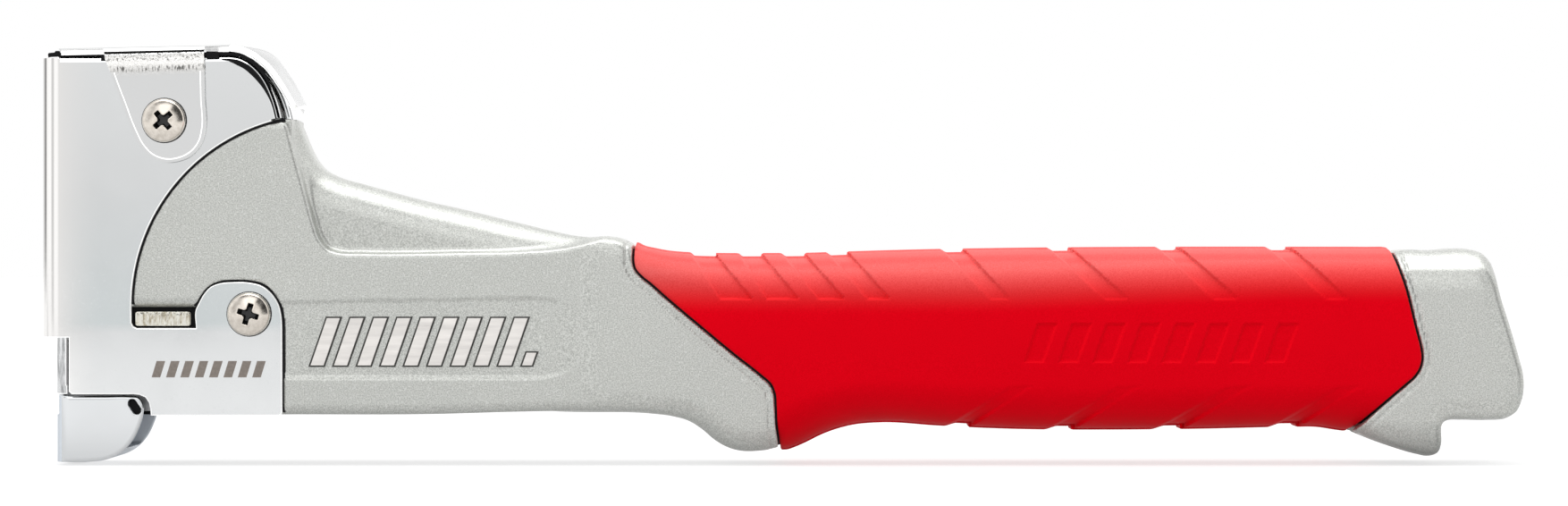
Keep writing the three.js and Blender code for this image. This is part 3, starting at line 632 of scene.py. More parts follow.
paint = make_paint()
chrome = make_chrome()
glowing_edge = make_glowing_edge()
nose_chrome = make_nose_chrome()
stroked = make_stroked()
strap_chrome = make_strap_chrome()
nickel = make_nickel()
rubber = make_rubber()
steel = make_steel()
wire = make_steel("spring_wire", 0.34, 0.25)
bare = make_steel("bare_casting_metal", 0.80, 0.34, (1.0, 0.965, 0.93))
gap_shade_paint = make_plastic("dark_outline_gap_shade", (0.07, 0.07, 0.066), 0.5, 0.2)
def streak_urethane():
    """Moulded pad: brown flow marks between the ribs."""
    m = Mat("ribbed_urethane", rough=0.3)
    flow = m.noise(1500, 3, 0.6, vector=m.scaled(1.0, 1, 0.3), distortion=0.5)
    pits = m.noise(2400, 2, 0.5)
    sep = m.node("ShaderNodeSeparateXYZ")
    m.t.links.new(m.coord, sep.inputs[0])
    top = m.spread(sep.outputs["Z"], 0.0320, 0.0326, 0, 1)
    base = m.mix(m.spread(flow, 0.36, 0.52, 0, 1), (0.55, 0.49, 0.36), (0.97, 0.95, 0.86))
    m.to(m.mix(m.math("MULTIPLY", top, m.spread(pits, 0.57, 0.63, 0, 0.85)), base, (0.10, 0.09, 0.07)), "Base Color")
    m.to(m.spread(flow, 0.3, 0.7, 0.25, 0.45), "Roughness")
    m.bump(flow, 0.4, 0.12)
    return m.m


urethane = streak_urethane()
# black rubber for the real rubber parts, also used for the dark pieces that paint shade in gaps
black_rubber = make_plastic("black_rubber", (0.008, 0.008, 0.009), 0.6, 0.12)
black_plastic = make_plastic("black_plastic", (0.012, 0.012, 0.013), 0.42, 0.2)
print_ink = make_plastic("printed_grey", (0.28, 0.24, 0.21), 0.5)

# ------------------------------------------------------------------ outlines (millimetres, in x and z)
S = 1
silhouette = curve([
    (-0.95, 42.0, S), (-0.95, 86.6, S), (33.0, 86.6), (37.0, 84.8), (40.3, 81.0), (41.9, 76.8), (43.2, 75.2, S), (47.6, 75.4, S),
    (48.6, 73.0), (50.0, 69.6), (51.6, 66.5), (53.8, 64.1), (56.6, 62.7), (61.8, 61.2), (67.6, 59.6), (73.5, 58.0), (85.3, 55.3),
    (97.1, 52.4), (105.0, 50.5), (109.0, 49.7), (112.5, 49.4), (116.5, 49.2), (119.5, 48.6), (121.6, 47.4), (122.6, 45.6), (124.0, 43.8, S),
    (288.4, 43.8, S), (289.4, 45.4), (291.2, 46.0), (298.0, 46.1), (306.5, 46.3), (308.9, 45.6), (310.4, 43.9), (311.2, 41.8), (312.9, 35.5),
    (314.9, 29.2), (316.7, 22.9), (317.6, 19.4), (317.8, 16.6), (317.3, 13.5), (316.2, 11.2), (314.2, 9.9), (310.0, 9.5), (304.0, 9.55),
    (301.4, 9.45), (300.3, 9.0), (299.7, 8.1), (299.6, 6.6), (299.6, 4.0), (298.9, 2.2), (297.0, 1.6), (294.7, 2.0), (288.4, 3.9), (282.2, 6.4),
    (280.4, 7.2, S), (280.0, 9.8, S), (157.0, 9.8, S), (156.6, 4.4, S), (153.9, 3.55), (151.6, 2.95), (149.4, 2.7), (146.0, 2.7), (143.2, 3.4), (140.2, 5.1), (137.6, 7.3), (134.6, 9.2),
    (130.8, 10.3), (126.0, 10.9), (112.0, 11.2), (97.0, 11.0), (79.0, 10.5), (46.0, 10.4, S), (29.6, 10.6, S), (29.6, 34.0, S), (9.0, 34.0, S),
    (9.0, 42.0, S),
])
ARC = (54.1, 34.3, 42.0)


def arc(r, a0, a1, n):
    return [(ARC[0] + r * math.cos(math.radians(a)), ARC[1] + r * math.sin(math.radians(a))) for a in np.linspace(a0, a1, n + 1)]


pad = (
    arc(ARC[2] - 0.56, 101.2, 180, 60)
    + [(12.75, 34.05, S)]
    + curve([(25.8, 34.05, S), (26.5, 35.1), (27.7, 37.1), (29.4, 38.8), (31.35, 39.68), (34.5, 39.98), (38.1, 39.88), (41.2, 39.08), (43.3, 37.2), (44.8, 34.85), (45.45, 31.9), (45.62, 29.0, S), (45.75, -12.0, S), (36, 20, S)])[:-1]
    + [(330, -12), (330, 104), (46.4, 104)]
)
pad = [p for p in pad if not (abs(p[0] - 36) < 0.01 and abs(p[1] - 20) < 0.01)]
pocket = curve([
    (46.0, 104, S), (45.9, 75.6, S), (48.4, 66.0), (50.6, 58.0), (52.2, 52.2), (53.4, 48.9), (55.2, 46.8), (57.8, 46.0), (62.0, 45.85), (85.0, 46.0),
    (100.0, 46.4), (108.0, 47.2), (113.0, 48.6), (116.0, 50.4), (118.0, 54.0), (118.0, 104, S),
])
grip_outline = curve([
    (122.75, 48.5, S), (124.2, 47.7), (126.5, 47.15), (129.4, 46.6), (132.4, 46.3), (136.5, 46.1), (142.0, 46.0), (150.0, 46.0), (161.8, 46.1),
    (170.6, 46.4), (189.2, 46.9), (208.8, 47.2), (240.0, 47.4), (270.0, 47.4), (285.0, 47.35), (287.8, 47.3), (288.7, 46.95), (289.05, 46.1), (289.35, 45.0),
    (289.8, 43.6), (290.6, 41.0), (291.6, 37.8), (292.4, 34.7), (293.1, 31.6), (293.9, 28.4), (294.7, 25.3), (295.0, 22.6), (294.5, 20.6),
    (293.3, 18.8), (291.6, 17.3), (288.0, 14.2), (284.7, 11.2), (281.2, 8.0), (279.2, 6.4, S), (277.0, 6.7), (273.0, 7.3), (267.6, 7.3), (248.0, 6.9),
    (228.0, 6.7), (208.8, 6.8), (199.0, 7.1), (189.2, 7.6), (176.5, 8.3), (170.6, 7.8), (167.0, 6.9), (163.5, 5.6), (160.5, 4.1), (157.8, 2.9),
    (156.0, 2.3), (154.6, 2.25, S), (154.3, 5.0), (153.9, 8.0), (153.7, 12.5), (153.5, 15.0), (152.6, 17.2), (150.4, 19.2), (144.7, 23.7), (137.1, 30.0),
    (129.6, 36.3), (126.1, 39.4), (124.1, 41.0), (122.8, 42.6), (122.45, 44.4), (122.5, 46.4), (122.6, 47.8),
])

# ------------------------------------------------------------------ casting
SIL, PAD, POCKET, GRIP = Field([silhouette]), Field([pad]), Field([pocket]), Field([grip_outline])
CORE = Field([[(106, 43.6), (296, 43.6), (298, 18), (291, 10.3), (150, 10.3), (106, 24)]])
TUNNEL = Field([[
    (-10, -12), (-10, 83), (41.0, 83), (41.5, 62), (44.0, 46), (48.0, 42.3), (112, 42.3), (120, 40.0), (289, 40.0),
    (291, 29.5), (331, 29.5), (331, -12), (301, -12), (301, 5.2), (291.5, 5.2), (290.0, 7.0), (283.5, 7.0), (283.5, -12), (157, -12), (157, 10.4),
    (129, 10.4), (129, -12),
]])
BAND = Field([curve([(40, 35.2, S), (99, 36.2, S), (104.0, 35.9), (108.6, 34.2), (111.6, 30.2), (111.5, 24.5), (108.6, 20.4), (104.0, 18.6), (99.0, 18.3, S), (40, 18.3, S)])])
BARS = []
for i in range(9):
    x = 51.4 + 5.15 * i
    BARS.append([(x, 21.2), (x + 2.9, 21.2), (x + 6.5, 31.6), (x + 3.6, 31.6)])
BARS.append([(97.8, 21.2), (100.0, 21.2), (101.0, 24.0), (98.8, 24.0)])


LONG = Field([
    [(100, 54.0), (121.8, 49.0), (122.7, 48.5)] + [p for p in grip_outline[: [i for i, p in enumerate(grip_outline) if p[0] > 284][0]] if p[0] > 123] + [(292, 47.4), (310, 47.4), (310, 6.8)]
    + [p for p in grip_outline if 155 < p[0] < 279 and p[1] < 12] + [(150, 2.2), (100, 2.2)]
])


def grip_bar(X, Z, ay):
    bar = both(LONG(X, Z), ay - 16.2, 9.8 - 3.8 * (1 - step01((X - 122) / 30)))
    return bar + 0.5 * step01(np.abs(Z - 27.0) / 19.0) * (ay > 6)


def hull(X, ay, Z):
    sil = SIL(X, Z)
    r = 2.3 + 2.2 * step01((X - 122) / 16) * (1 - step01((X - 278) / 10)) - 0.6 * step01((X - 280) / 10)
    low = 0.5 * step01((0.3 - BAND(X, Z)) / 1.1) * (1 - step01((X - 96) / 18))
    slab = both(sil, ay - 15.0 + low, r)
    slab = both(slab, PAD(X, Z), 0.22)
    slab = less(slab, np.where(X > 30, POCKET(X, Z), 20.0), 1.1)
    web = both(sil, ay - (10.4 + 4.3 * step01((X - 96) / 20)), 7.4 - 2.6 * step01((X - 92) / 22))
    web = np.maximum(web, 44.2 - X)
    outer = join(slab, web, 1.4)
    block = np.maximum(both(sil, ay - 13.6, 0.6), X - 47.2)
    outer = np.minimum(outer, block)
    facet = (ay - 15.0) * math.cos(0.72) + (Z - 41.0) * math.sin(0.72)
    outer = np.where(X > 286, both(outer, facet, 2.4), outer)
    return outer


def casting(X, Y, Z):
    ay = np.abs(Y)
    outer = hull(X, ay, Z)
    g = GRIP(X, Z)
    outer = outer + 0.34 * np.exp(-(((g - 1.9) / 0.34) ** 2)) * (ay > 9) * step01((X - 110) / 6)
    outer = less(outer, g - np.where(X > 200, 0.52, 0.47), 0.3)
    core = np.maximum(both(CORE(X, Z), ay - 12.8, 2.2), grip_bar(X, Z, ay) + 2.0)
    outer = np.minimum(outer, core)
    tunnel = both(TUNNEL(X, Z), ay - 8.5, 0.8)
    outer = less(outer, tunnel, 0.4)
    outer = less(outer, np.maximum(np.maximum(np.maximum(X - 8, Z - 85.3), ay - 4), 80 - Z), 0.2)
    outer = less(outer, np.hypot(X - 19.6, Z - 74.9) - 3.6, 0.2)
    outer = less(outer, np.hypot(X - 38.0, Z - 32.5) - 2.7, 0.2)
    pin = np.maximum(np.hypot(X - 262, Z - 19) - 2.55, ay - 12.2)
    outer = np.maximum(outer, -pin)
    slot = np.maximum(np.maximum(np.abs(X - 19.5) - 2.8, np.abs(Z - 36) - 3), np.abs(ay - 11.3) - 1.4)
    return less(outer, slot, 0.2)


h = 0.5
from_field("cast_body", casting, (-3, -16.5, 0.0), (319.5, 16.5, 88.5), h, "body", paint, "cast_paint", "body_casting")

def seal(X, Y, Z):
    """Dark ring filling the joint between casting and grip, a little below the surface."""
    ay = np.abs(Y)
    g = GRIP(X, Z)
    ring = np.maximum(np.abs(g - 0.2) - 1.1, hull(X, ay, Z) + 0.5)
    inner = np.maximum(both(CORE(X, Z), ay - 12.8, 2.2), grip_bar(X, Z, ay) + 2.0)
    ring = np.maximum(ring, -(inner + 0.25))
    ring = np.maximum(ring, -(np.maximum(TUNNEL(X, Z), ay - 8.5) - 1.2))
    return np.maximum(np.maximum(ring, np.where(X < 200, X - 157.5, 277.0 - X)), grip_bar(X, Z, ay) + 0.55)


from_field("grip_seal_front", seal, (119.5, -16.5, 0.5), (158.5, 16.5, 50.0), h, "body", black_rubber, None)
from_field("grip_seal_rear", seal, (276.0, -16.5, 4.5), (297.5, 16.5, 49.0), h, "body", black_rubber, None)

# black strips in the gap round the cheek's arc and lobe: painted shade at the bottom of the gap
gap_shade_strips = []
lobe_line = curve([(26.05, 34.2, S), (26.7, 35.0), (27.85, 36.95), (29.5, 38.65), (31.4, 39.45), (34.6, 39.75), (38.1, 39.65), (41.05, 38.85), (43.1, 37.05), (44.6, 34.75), (45.25, 31.85), (45.42, 29.0, S), (45.5, 10.9, S), (30, 20, S)])
lobe_line = lobe_line[: [k for k, p in enumerate(lobe_line) if abs(p[1] - 10.9) < 0.01][0] + 1]
for way in (arc(ARC[2] - 0.27, 101.5, 179.6, 90), lobe_line):
    for s in (1, -1):
        gap_shade_strips.append(sweep(way, [(a, s * y) for a, y in ((-0.3, 14.45), (-0.3, 13.45), (0.3, 13.45), (0.3, 14.45))][::s]))
from_bmesh("cheek_gap_shade", merge(*gap_shade_strips), "body", black_rubber, None)

# bare-metal slanted bars standing in the neck recess, each edged by a dark outline plate that paints the shade of the
# narrow gap round it
bars, gap_shade_outlines = [], []
for side in (-1, 1):
    for loop in BARS:
        b = plate([loop], 0.6, 0.12, 2)
        bars.append(place(b, lambda u, v, w, s=side: (u, s * (15.0 + w), v)))
        (ax, az), (bx, bz), (cx, cz), (dx, dz) = loop
        b = plate([[(ax - 0.5, az - 0.32), (bx + 0.24, bz - 0.32), (cx + 0.5, cz + 0.32), (dx - 0.24, dz + 0.32)]], 0.5, 0.05, 1)
        gap_shade_outlines.append(place(b, lambda u, v, w, s=side: (u, s * (14.72 + w), v)))
from_bmesh("neck_bars", merge(*bars), "body", bare, None)
from_bmesh("neck_bar_gap_shade", merge(*gap_shade_outlines), "body", gap_shade_paint, None)

# ------------------------------------------------------------------ grip
def px(x, y):
    return ((x - 85) / 5.1, (517 - y) / 5.1)


NOTCH = []
for (a, b, c, d) in (
    ((774, 240), (801, 240), (841, 334), (806, 334)), ((828, 240), (853, 240), (893, 334), (858, 334)),
    ((877, 240), (902, 240), (944, 334), (916, 334)), ((929, 240), (952, 240), (995, 334), (971, 334)),
):
    e = lambda p, q: (p[0] + (p[0] - q[0]) * 0.35, p[1] + (p[1] - q[1]) * 0.35)
    NOTCH.append((e(px(a[0], 286), px(*d)), e(px(b[0], 286), px(*c)), px(*c), px(*d)))
for (a, b, c, d) in ((1056, 1080, 1130, 1108), (1178, 1202, 1262, 1236), (1301, 1325, 1385, 1358), (1425, 1450, 1508, 1484)):
    e = lambda p, q: (p[0] + (p[0] - q[0]) * 0.35, p[1] + (p[1] - q[1]) * 0.35)
    NOTCH.append((e(px(a, 280), px(d, 335)), e(px(b, 280), px(c, 335)), px(c, 335), px(d, 335)))
LOWER = []
for (a, b, c, d) in ((1057, 1080, 1152, 1130), (1176, 1200, 1272, 1250), (1296, 1322, 1396, 1374), (1423, 1449, 1518, 1496)):
    e = lambda p, q: (p[0] + (p[0] - q[0]) * 0.35, p[1] + (p[1] - q[1]) * 0.35)
    LOWER.append((px(d, 433), px(c, 433), e(px(b, 481), px(c, 433)), e(px(a, 481), px(d, 433))))
DASH = []
for i in range(8):
    x = 208.0 + 7.55 * i
    DASH.append(((x + 2.9, 30.3), (x + 7.0, 30.3), (x + 4.1, 22.0), (x, 22.0)))


def grip(X, Y, Z):
    ay = np.abs(Y)
    bar = grip_bar(X, Z, ay)
    out = both(bar, GRIP(X, Z), 0.4)
    for k, q in enumerate(NOTCH + LOWER):
        if k < 4:
            depth = 0.85
        elif k < 8:
            depth = 0.25 + 0.65 * step01((Z - 35.9) / 5.0)
        else:
            depth = 0.16 + 0.76 * step01((14.0 - Z) / 5.5)
        out = out + depth * step01(0.5 - notch_in(X, Z, q) / (0.45 if k < 8 else 0.9))
    n = None
    for q in DASH:
        v = -notch_in(X, Z, q)
        n = v if n is None else np.maximum(n, v)
    out = out + 0.36 * step01(n / 0.55 + 0.5) * (ay > 8)
    core = np.maximum(both(CORE(X, Z) - 0.3, ay - 13.1, 2.2), bar + 1.7)
    return np.maximum(out, -core)


def notch_in(X, Z, q):
    """Positive outside a convex patch, negative inside, whatever its winding."""
    area = sum(q[i][0] * q[(i + 1) % 4][1] - q[(i + 1) % 4][0] * q[i][1] for i in range(4))
    k = 1 if area > 0 else -1
    out = None
    for p, s in zip(q, list(q[1:]) + [q[0]]):
        ex, ez = s[0] - p[0], s[1] - p[1]
        v = k * ((X - p[0]) * ez - (Z - p[1]) * ex) / math.hypot(ex, ez)
        out = v if out is None else np.maximum(out, v)
    return out


from_field("grip_rubber", grip, (120.5, -18, 0.5), (297, 18, 50.5), h, "body", rubber, "grip_rubber", "grip_sleeve")

# ------------------------------------------------------------------ head shell: flat pattern folded round the front
XF, HALF, T, R = -7.75, 15.2, 1.3, 4.1
FLAT = HALF - R


def u_of(x):
    return FLAT + R * math.pi / 2 + (x - (XF + R))


def shell_map(u, v, w):
    s, a = (1, u) if u >= 0 else (-1, -u)
    if a <= FLAT:
        p, n = (XF, a), (-1, 0)
    elif a <= FLAT + R * math.pi / 2:
        t = (a - FLAT) / R
        p, n = (XF + R - R * math.cos(t), FLAT + R * math.sin(t)), (-math.cos(t), math.sin(t))
    else:
        p, n = (XF + R + a - FLAT - R * math.pi / 2, HALF), (0, 1)
    return (p[0] + n[0] * w, s * (p[1] + n[1] * w), v)


rear = curve([(25.0, 87.2, S), (33.6, 87.2), (36.2, 86.3), (38.3, 84.8), (40.6, 81.9), (41.9, 78.6), (42.7, 75.2, S), (30, 80, S)])[:-1]
rear = [p for p in rear if not (abs(p[0] - 30) < 0.01 and abs(p[1] - 80) < 0.01)]
lobe = curve([(26.3, 29.4, S), (26.3, 33.6), (26.9, 34.8), (28.0, 36.8), (29.6, 38.5), (31.4, 39.2), (34.6, 39.5), (38.0, 39.4), (40.9, 38.6), (42.95, 36.9),
              (44.35, 34.7), (45.05, 31.8), (45.2, 29.0, S), (45.25, 11.0, S), (45.0, 10.45), (44.5, 10.2, S), (30, 20, S)])[:-1]
lobe = [p for p in lobe if not (abs(p[0] - 30) < 0.01 and abs(p[1] - 20) < 0.01)]
cheek = (
    [(x, z) for x, z in rear] + arc(ARC[2], 105.6, 179.6, 70) + [(12.1, 33.0), (12.1, 30.6), (12.5, 29.8), (13.3, 29.4)] + lobe
    + [(16.4, 10.2), (16.3, 11.6), (16.0, 13.0), (15.2, 14.2), (13.9, 14.75), (12.6, 14.9), (-1.0, 14.9), (-1.6, 15.5), (-1.6, 27.3)]
)
half = [(u_of(x), z) for x, z in cheek]
half = [(0.0, 88.9), (u_of(-3.9), 88.9), (u_of(-3.5), 88.5), (u_of(-3.2), 87.2)] + half[:-1] + [(u_of(-1.6), 27.3), (0.0, 27.3)]
half_no_mid = half[1:-1]
pattern = [(u, z) for u, z in half_no_mid] + [(-u, z) for u, z in half_no_mid[::-1]]
clean = [pattern[0]]
for p in pattern[1:]:
    if math.hypot(p[0] - clean[-1][0], p[1] - clean[-1][1]) > 0.12:
        clean.append(p)
bm = plate([clean], T, 0.36, 3)
bends = [s * (FLAT + R * math.pi / 2 * k / 14) for k in range(15) for s in (1, -1)]
cut(bm, 0, sorted(bends))
shell = fold(bm, shell_map)
edge_path = [(x, 89.0) for x in np.arange(-3.5, 25, 2.0)] + [(26.0, 89.02), (28.0, 89.07), (30.0, 89.14), (32.0, 89.18)] + [
    p for p in curve([(33.6, 89.2, S), (35.6, 88.9), (37.6, 88.0), (39.6, 86.4), (41.6, 83.8), (43.0, 80.9), (44.0, 78.0), (44.6, 75.6, S), (30, 70, S)], 0.6)
    if not (abs(p[0] - 30) < 0.01 and abs(p[1] - 70) < 0.01)
]
edge_path = [p for p in edge_path if p[1] > 75.5]
RB = 1.36
k = 9
outer = [(-RB + RB * math.sin(a), HALF - RB + RB * math.cos(a)) for a in np.linspace(0, math.pi / 2, k)]
ri = RB - T
inner = [(-RB + ri * math.sin(a), HALF - RB + ri * math.cos(a)) for a in np.linspace(math.pi / 2, 0, k)]
flange = (
    [(-RB - 1.2, HALF + 0.012), (-RB - 0.4, HALF + 0.012)] + [(a, y + 0.012) for a, y in outer] + [(0.0, 9.9), (-0.15, 9.65), (-0.5, 9.55), (-T + 0.3, 9.55), (-T + 0.1, 9.65), (-T, 9.9)]
    + inner + [(-RB - 0.4, HALF - T + 0.02), (-RB - 1.2, HALF - T + 0.02)]
)
flanges = [sweep(edge_path, flange), sweep(edge_path, [(a, -y) for a, y in flange][::-1])]
# black band outside the rear flange edge: painted shade along the bend
rim = np.array([p for p in edge_path if p[0] > 31.5])
run = np.concatenate([[0], np.cumsum(np.hypot(*np.diff(rim, axis=0).T))])
tan = np.gradient(rim, axis=0)
tan /= np.hypot(*tan.T)[:, None]
normal = np.stack([-tan[:, 1], tan[:, 0]], 1)
share = run / run[-1]
wide = 0.12 + 0.95 * step01((share + 0.02) / 0.24) - 1.0 * step01((share - 0.38) / 0.52)
inner_edge = rim - normal * (0.80 + wide)[:, None]
outer_edge = rim - normal * 0.74
shade_band_outline = [tuple(p) for p in outer_edge] + [tuple(p) for p in inner_edge[::-1]]
shade_bands = []
for s in (-1, 1):
    b = plate([shade_band_outline], 0.5, 0.02, 1)
    shade_bands.append(place(b, lambda u, v, w, s=s: (u, s * (HALF + 0.05 + w), v)))
from_bmesh("shell_shade_band", merge(*shade_bands), "body", black_rubber, None)

# dark strip between the shell's top flange and the strap: painted shadow in the gap between them
line = np.array([p for p in edge_path if p[0] <= 31.5] + [tuple(p) for p in rim])
tan = np.gradient(line, axis=0)
tan /= np.hypot(*tan.T)[:, None]
up = np.stack([-tan[:, 1], tan[:, 0]], 1)
where = np.clip((line[:, 0] - 31.5) / 0.01, 0, 1) * np.interp(np.arange(len(line)) - (len(line) - len(rim)), np.arange(len(rim)), share)
flat_part = 89.8 + (line[:, 0] - 19.6) * 0.0225 - 0.06 - line[:, 1]
round_part = 0.62 + 0.26 * step01(where / 0.35) - 1.0 * step01((where - 0.40) / 0.42)
thickness = np.where(line[:, 0] < 32.5, flat_part, np.maximum(round_part, 0.06))
under = line + up * 0.03
over = line + up * np.maximum(thickness, 0.08)[:, None]
gap_shadow_strips = []
for s in (-1, 1):
    b = plate([[tuple(p) for p in over] + [tuple(p) for p in under[::-1]]], 1.0, 0.02, 1)
    gap_shadow_strips.append(place(b, lambda u, v, w, s=s: (u, s * (14.9 + w), v)))
from_bmesh("strap_gap_shadow", merge(*gap_shadow_strips), "body", black_rubber, None)

# dark blocks beside the strap's ears, painted shade filling the gap there, and a dark block across the head's front top
# corner
gap_shade_blocks = []
for s in (-1, 1):
    for loop, y in (([(28.6, 88.62), (31.1, 88.62), (31.35, 88.9), (31.35, 89.9), (31.1, 90.1), (28.6, 90.1)], 15.42), ([(5.5, 88.0), (6.9, 88.0), (7.2, 88.4), (7.0, 89.0), (5.5, 89.0)], 15.3)):
        b = plate([loop], 2.2, 0.12, 2)
        gap_shade_blocks.append(place(b, lambda u, v, w, s=s, y=y: (u, s * (y + w), v)))
from_bmesh("strap_gap_shade", merge(*gap_shade_blocks), "body", black_rubber, None)
b = plate([[(-6.2, 88.6), (-3.55, 88.6), (-3.35, 88.8), (-3.35, 89.75), (-3.6, 89.9), (-3.9, 90.25), (-4.6, 90.25), (-4.9, 89.9), (-6.1, 89.8), (-6.3, 89.5)]], 28.6, 0.25, 2)
from_bmesh("front_corner_block", place(b, lambda u, v, w: (u, 14.3 + w, v)), "body", black_rubber, None)
from_bmesh("head_shell_sheet", merge(shell, *flanges), "body", chrome, "chrome_sheet", "head_shell")

# ------------------------------------------------------------------ strap
TOP, TS, EAR = 91.3, 1.5, 16.9
A1, R1, R2, LS = math.radians(62.0), 2.0, 8.8, 0.45
L1, L2 = R1 * A1, R2 * (math.pi / 2 - A1)
DY = R1 * math.sin(A1) + LS * math.cos(A1) + R2 * (1 - math.sin(A1))
DZ = R1 * (1 - math.cos(A1)) + LS * math.sin(A1) + R2 * math.cos(A1)
V0 = EAR - DY
prof = np.array(
    [(34.0, TOP)] + [p for p in curve([(34.0, TOP, S), (37.4, 90.95), (40.6, 89.9), (43.2, 87.9), (45.6, 84.6), (47.8, 80.9), (49.4, 77.7, S), (30, 60, S)], 0.5) if p[0] > 34.05]
)
plen = np.concatenate([[0], np.cumsum(np.hypot(*np.diff(prof, axis=0).T))])
SEND = 34.0 + 6.4 + plen[-1]


def strap_map(u, v, w):
    s, a = (1, v) if v >= 0 else (-1, -v)
    x = u - 6.4
    if x > 34.0:
        d = min(x - 34.0, plen[-1])
        i = min(int(np.searchsorted(plen, d, side="right")) - 1, len(prof) - 2)
        t = (d - plen[i]) / (plen[i + 1] - plen[i])
        lo, hi = max(i - 1, 0), min(i + 2, len(prof) - 1)
        p = prof[i] * (1 - t) + prof[i + 1] * t
        T0 = prof[i + 1] - prof[max(i - 1, 0)]
        T1 = prof[hi] - prof[i]
        tan = T0 / np.hypot(*T0) * (1 - t) + T1 / np.hypot(*T1) * t
        tan /= np.hypot(*tan)
        n = (-tan[1], tan[0])
        crown = 1.5 * (1 - (a / 14.2) ** 2) * step01(d / 9.0)
        off = w + crown - 1.1 * step01(d / 9.0)
        return lean(p[0] + n[0] * off, s * a, p[1] + n[1] * off)
    if a <= V0:
        y, z, n = a, TOP, (0, 1)
    elif a <= V0 + L1:
        t = (a - V0) / R1
        y, z, n = V0 + R1 * math.sin(t), TOP - R1 * (1 - math.cos(t)), (math.sin(t), math.cos(t))
    elif a <= V0 + L1 + LS:
        t, d = A1, a - V0 - L1
        y, z = V0 + R1 * math.sin(t) + d * math.cos(t), TOP - R1 * (1 - math.cos(t)) - d * math.sin(t)
        n = (math.sin(t), math.cos(t))
    elif a <= V0 + L1 + LS + L2:
        t = A1 + (a - V0 - L1 - LS) / R2
        y = V0 + R1 * math.sin(A1) + LS * math.cos(A1) + R2 * (math.sin(t) - math.sin(A1))
        z = TOP - R1 * (1 - math.cos(A1)) - LS * math.sin(A1) - R2 * (math.cos(A1) - math.cos(t))
        n = (math.sin(t), math.cos(t))
    else:
        y, z, n = EAR, TOP - DZ - (a - V0 - L1 - LS - L2), (1, 0)
    return lean(x, s * (y + n[0] * w), z + n[1] * w)


def lean(x, y, z):
    a = 0.0225
    return (19.6 + (x - 19.6) * math.cos(a) - (z - 74.9) * math.sin(a), y, 74.9 + (x - 19.6) * math.sin(a) + (z - 74.9) * math.cos(a))


def v_of(z):
    return V0 + L1 + LS + L2 + (TOP - DZ - z)


ear = curve([(8.6, 85.6, S), (10.9, 79.0), (13.2, 72.6), (14.7, 69.6), (17.0, 67.2), (19.9, 66.2), (22.8, 66.5), (25.4, 67.8), (27.2, 70.0), (28.0, 72.8), (28.0, 80.0), (28.0, 85.6, S), (20, 95, S)], 0.9)
ear = [p for p in ear if p[1] < 85.7]
W = 14.5
side = [(3.1, W - 0.3), (3.4, W)] + [(6.9 + 6.4 - 0.6, W), (6.9 + 6.4, W + 0.4), (7.3 + 6.4, v_of(88.9)), (7.9 + 6.4, v_of(87.3))] + [(x + 6.4, v_of(z)) for x, z in ear] + [(28.0 + 6.4, W + 0.4), (28.6 + 6.4, W), (34.0 + 6.4, W)]
tail = [(34.0 + 6.4 + d, W - 0.9 * step01(d / 16.0) ** 1) for d in np.linspace(1.5, plen[-1] - 3.2, 12)]
end = [(SEND - 1.3 + 1.3 * math.sin(a), W - 0.9 - 1.3 + 1.3 * math.cos(a)) for a in np.linspace(0.1, math.pi / 2, 6)]
top_half = [(3.1, W - 1.2)] + side + tail + end
loop = top_half + [(u, -v) for u, v in top_half[::-1]]
clean = [loop[0]]
for p in loop[1:]:
    if math.hypot(p[0] - clean[-1][0], p[1] - clean[-1][1]) > 0.12:
        clean.append(p)
bm = plate([clean], TS, 0.5, 3)
cut(bm, 1, [s * v for s in (1, -1) for v in [V0 + L1 * k / 8 for k in range(9)] + [V0 + L1 + LS + L2 * k / 8 for k in range(9)]])
cut(bm, 1, [float(v) for v in np.arange(-13.5, 13.6, 1.5) if abs(v) < V0 - 0.1])
cut(bm, 0, [float(v) for v in np.arange(40.2, SEND - 0.2, 0.8)])
from_bmesh("strike_strap_sheet", fold(bm, strap_map), "body", strap_chrome, "chrome_sheet", "strike_strap")

# polished lip rolled round the edge of each ear, in the glowing edge material: a painted highlight
lip = np.array([p for p in curve([(x + 6.4, v_of(z)) for x, z in [(8.45, 86.1), (8.6, 85.6), (10.9, 79.0), (13.2, 72.6), (14.7, 69.6), (17.0, 67.2), (19.9, 66.2), (22.8, 66.5), (25.4, 67.8), (27.2, 70.0), (28.0, 72.8), (28.0, 80.0), (28.0, 85.6), (28.0, 86.1)]], 0.3) if p[1] > v_of(85.75)])
far = int(np.argmax(np.hypot(*np.diff(np.vstack([lip, lip[:1]]), axis=0).T)))
lip = np.roll(lip, -far - 1, axis=0)
along = np.gradient(lip, axis=0)
along /= np.hypot(*along.T)[:, None]
inward = np.stack([-along[:, 1], along[:, 0]], 1)
if (inward * (np.array([26.0, v_of(76.0)]) - lip)).sum() < 0:
    inward = -inward
lip = lip + inward * 0.27
from_bmesh("strap_ear_lips", merge(*[tube([strap_map(u, s * v, -0.22) for u, v in lip], 0.27, 12) for s in (1, -1)]), "body", glowing_edge, None)


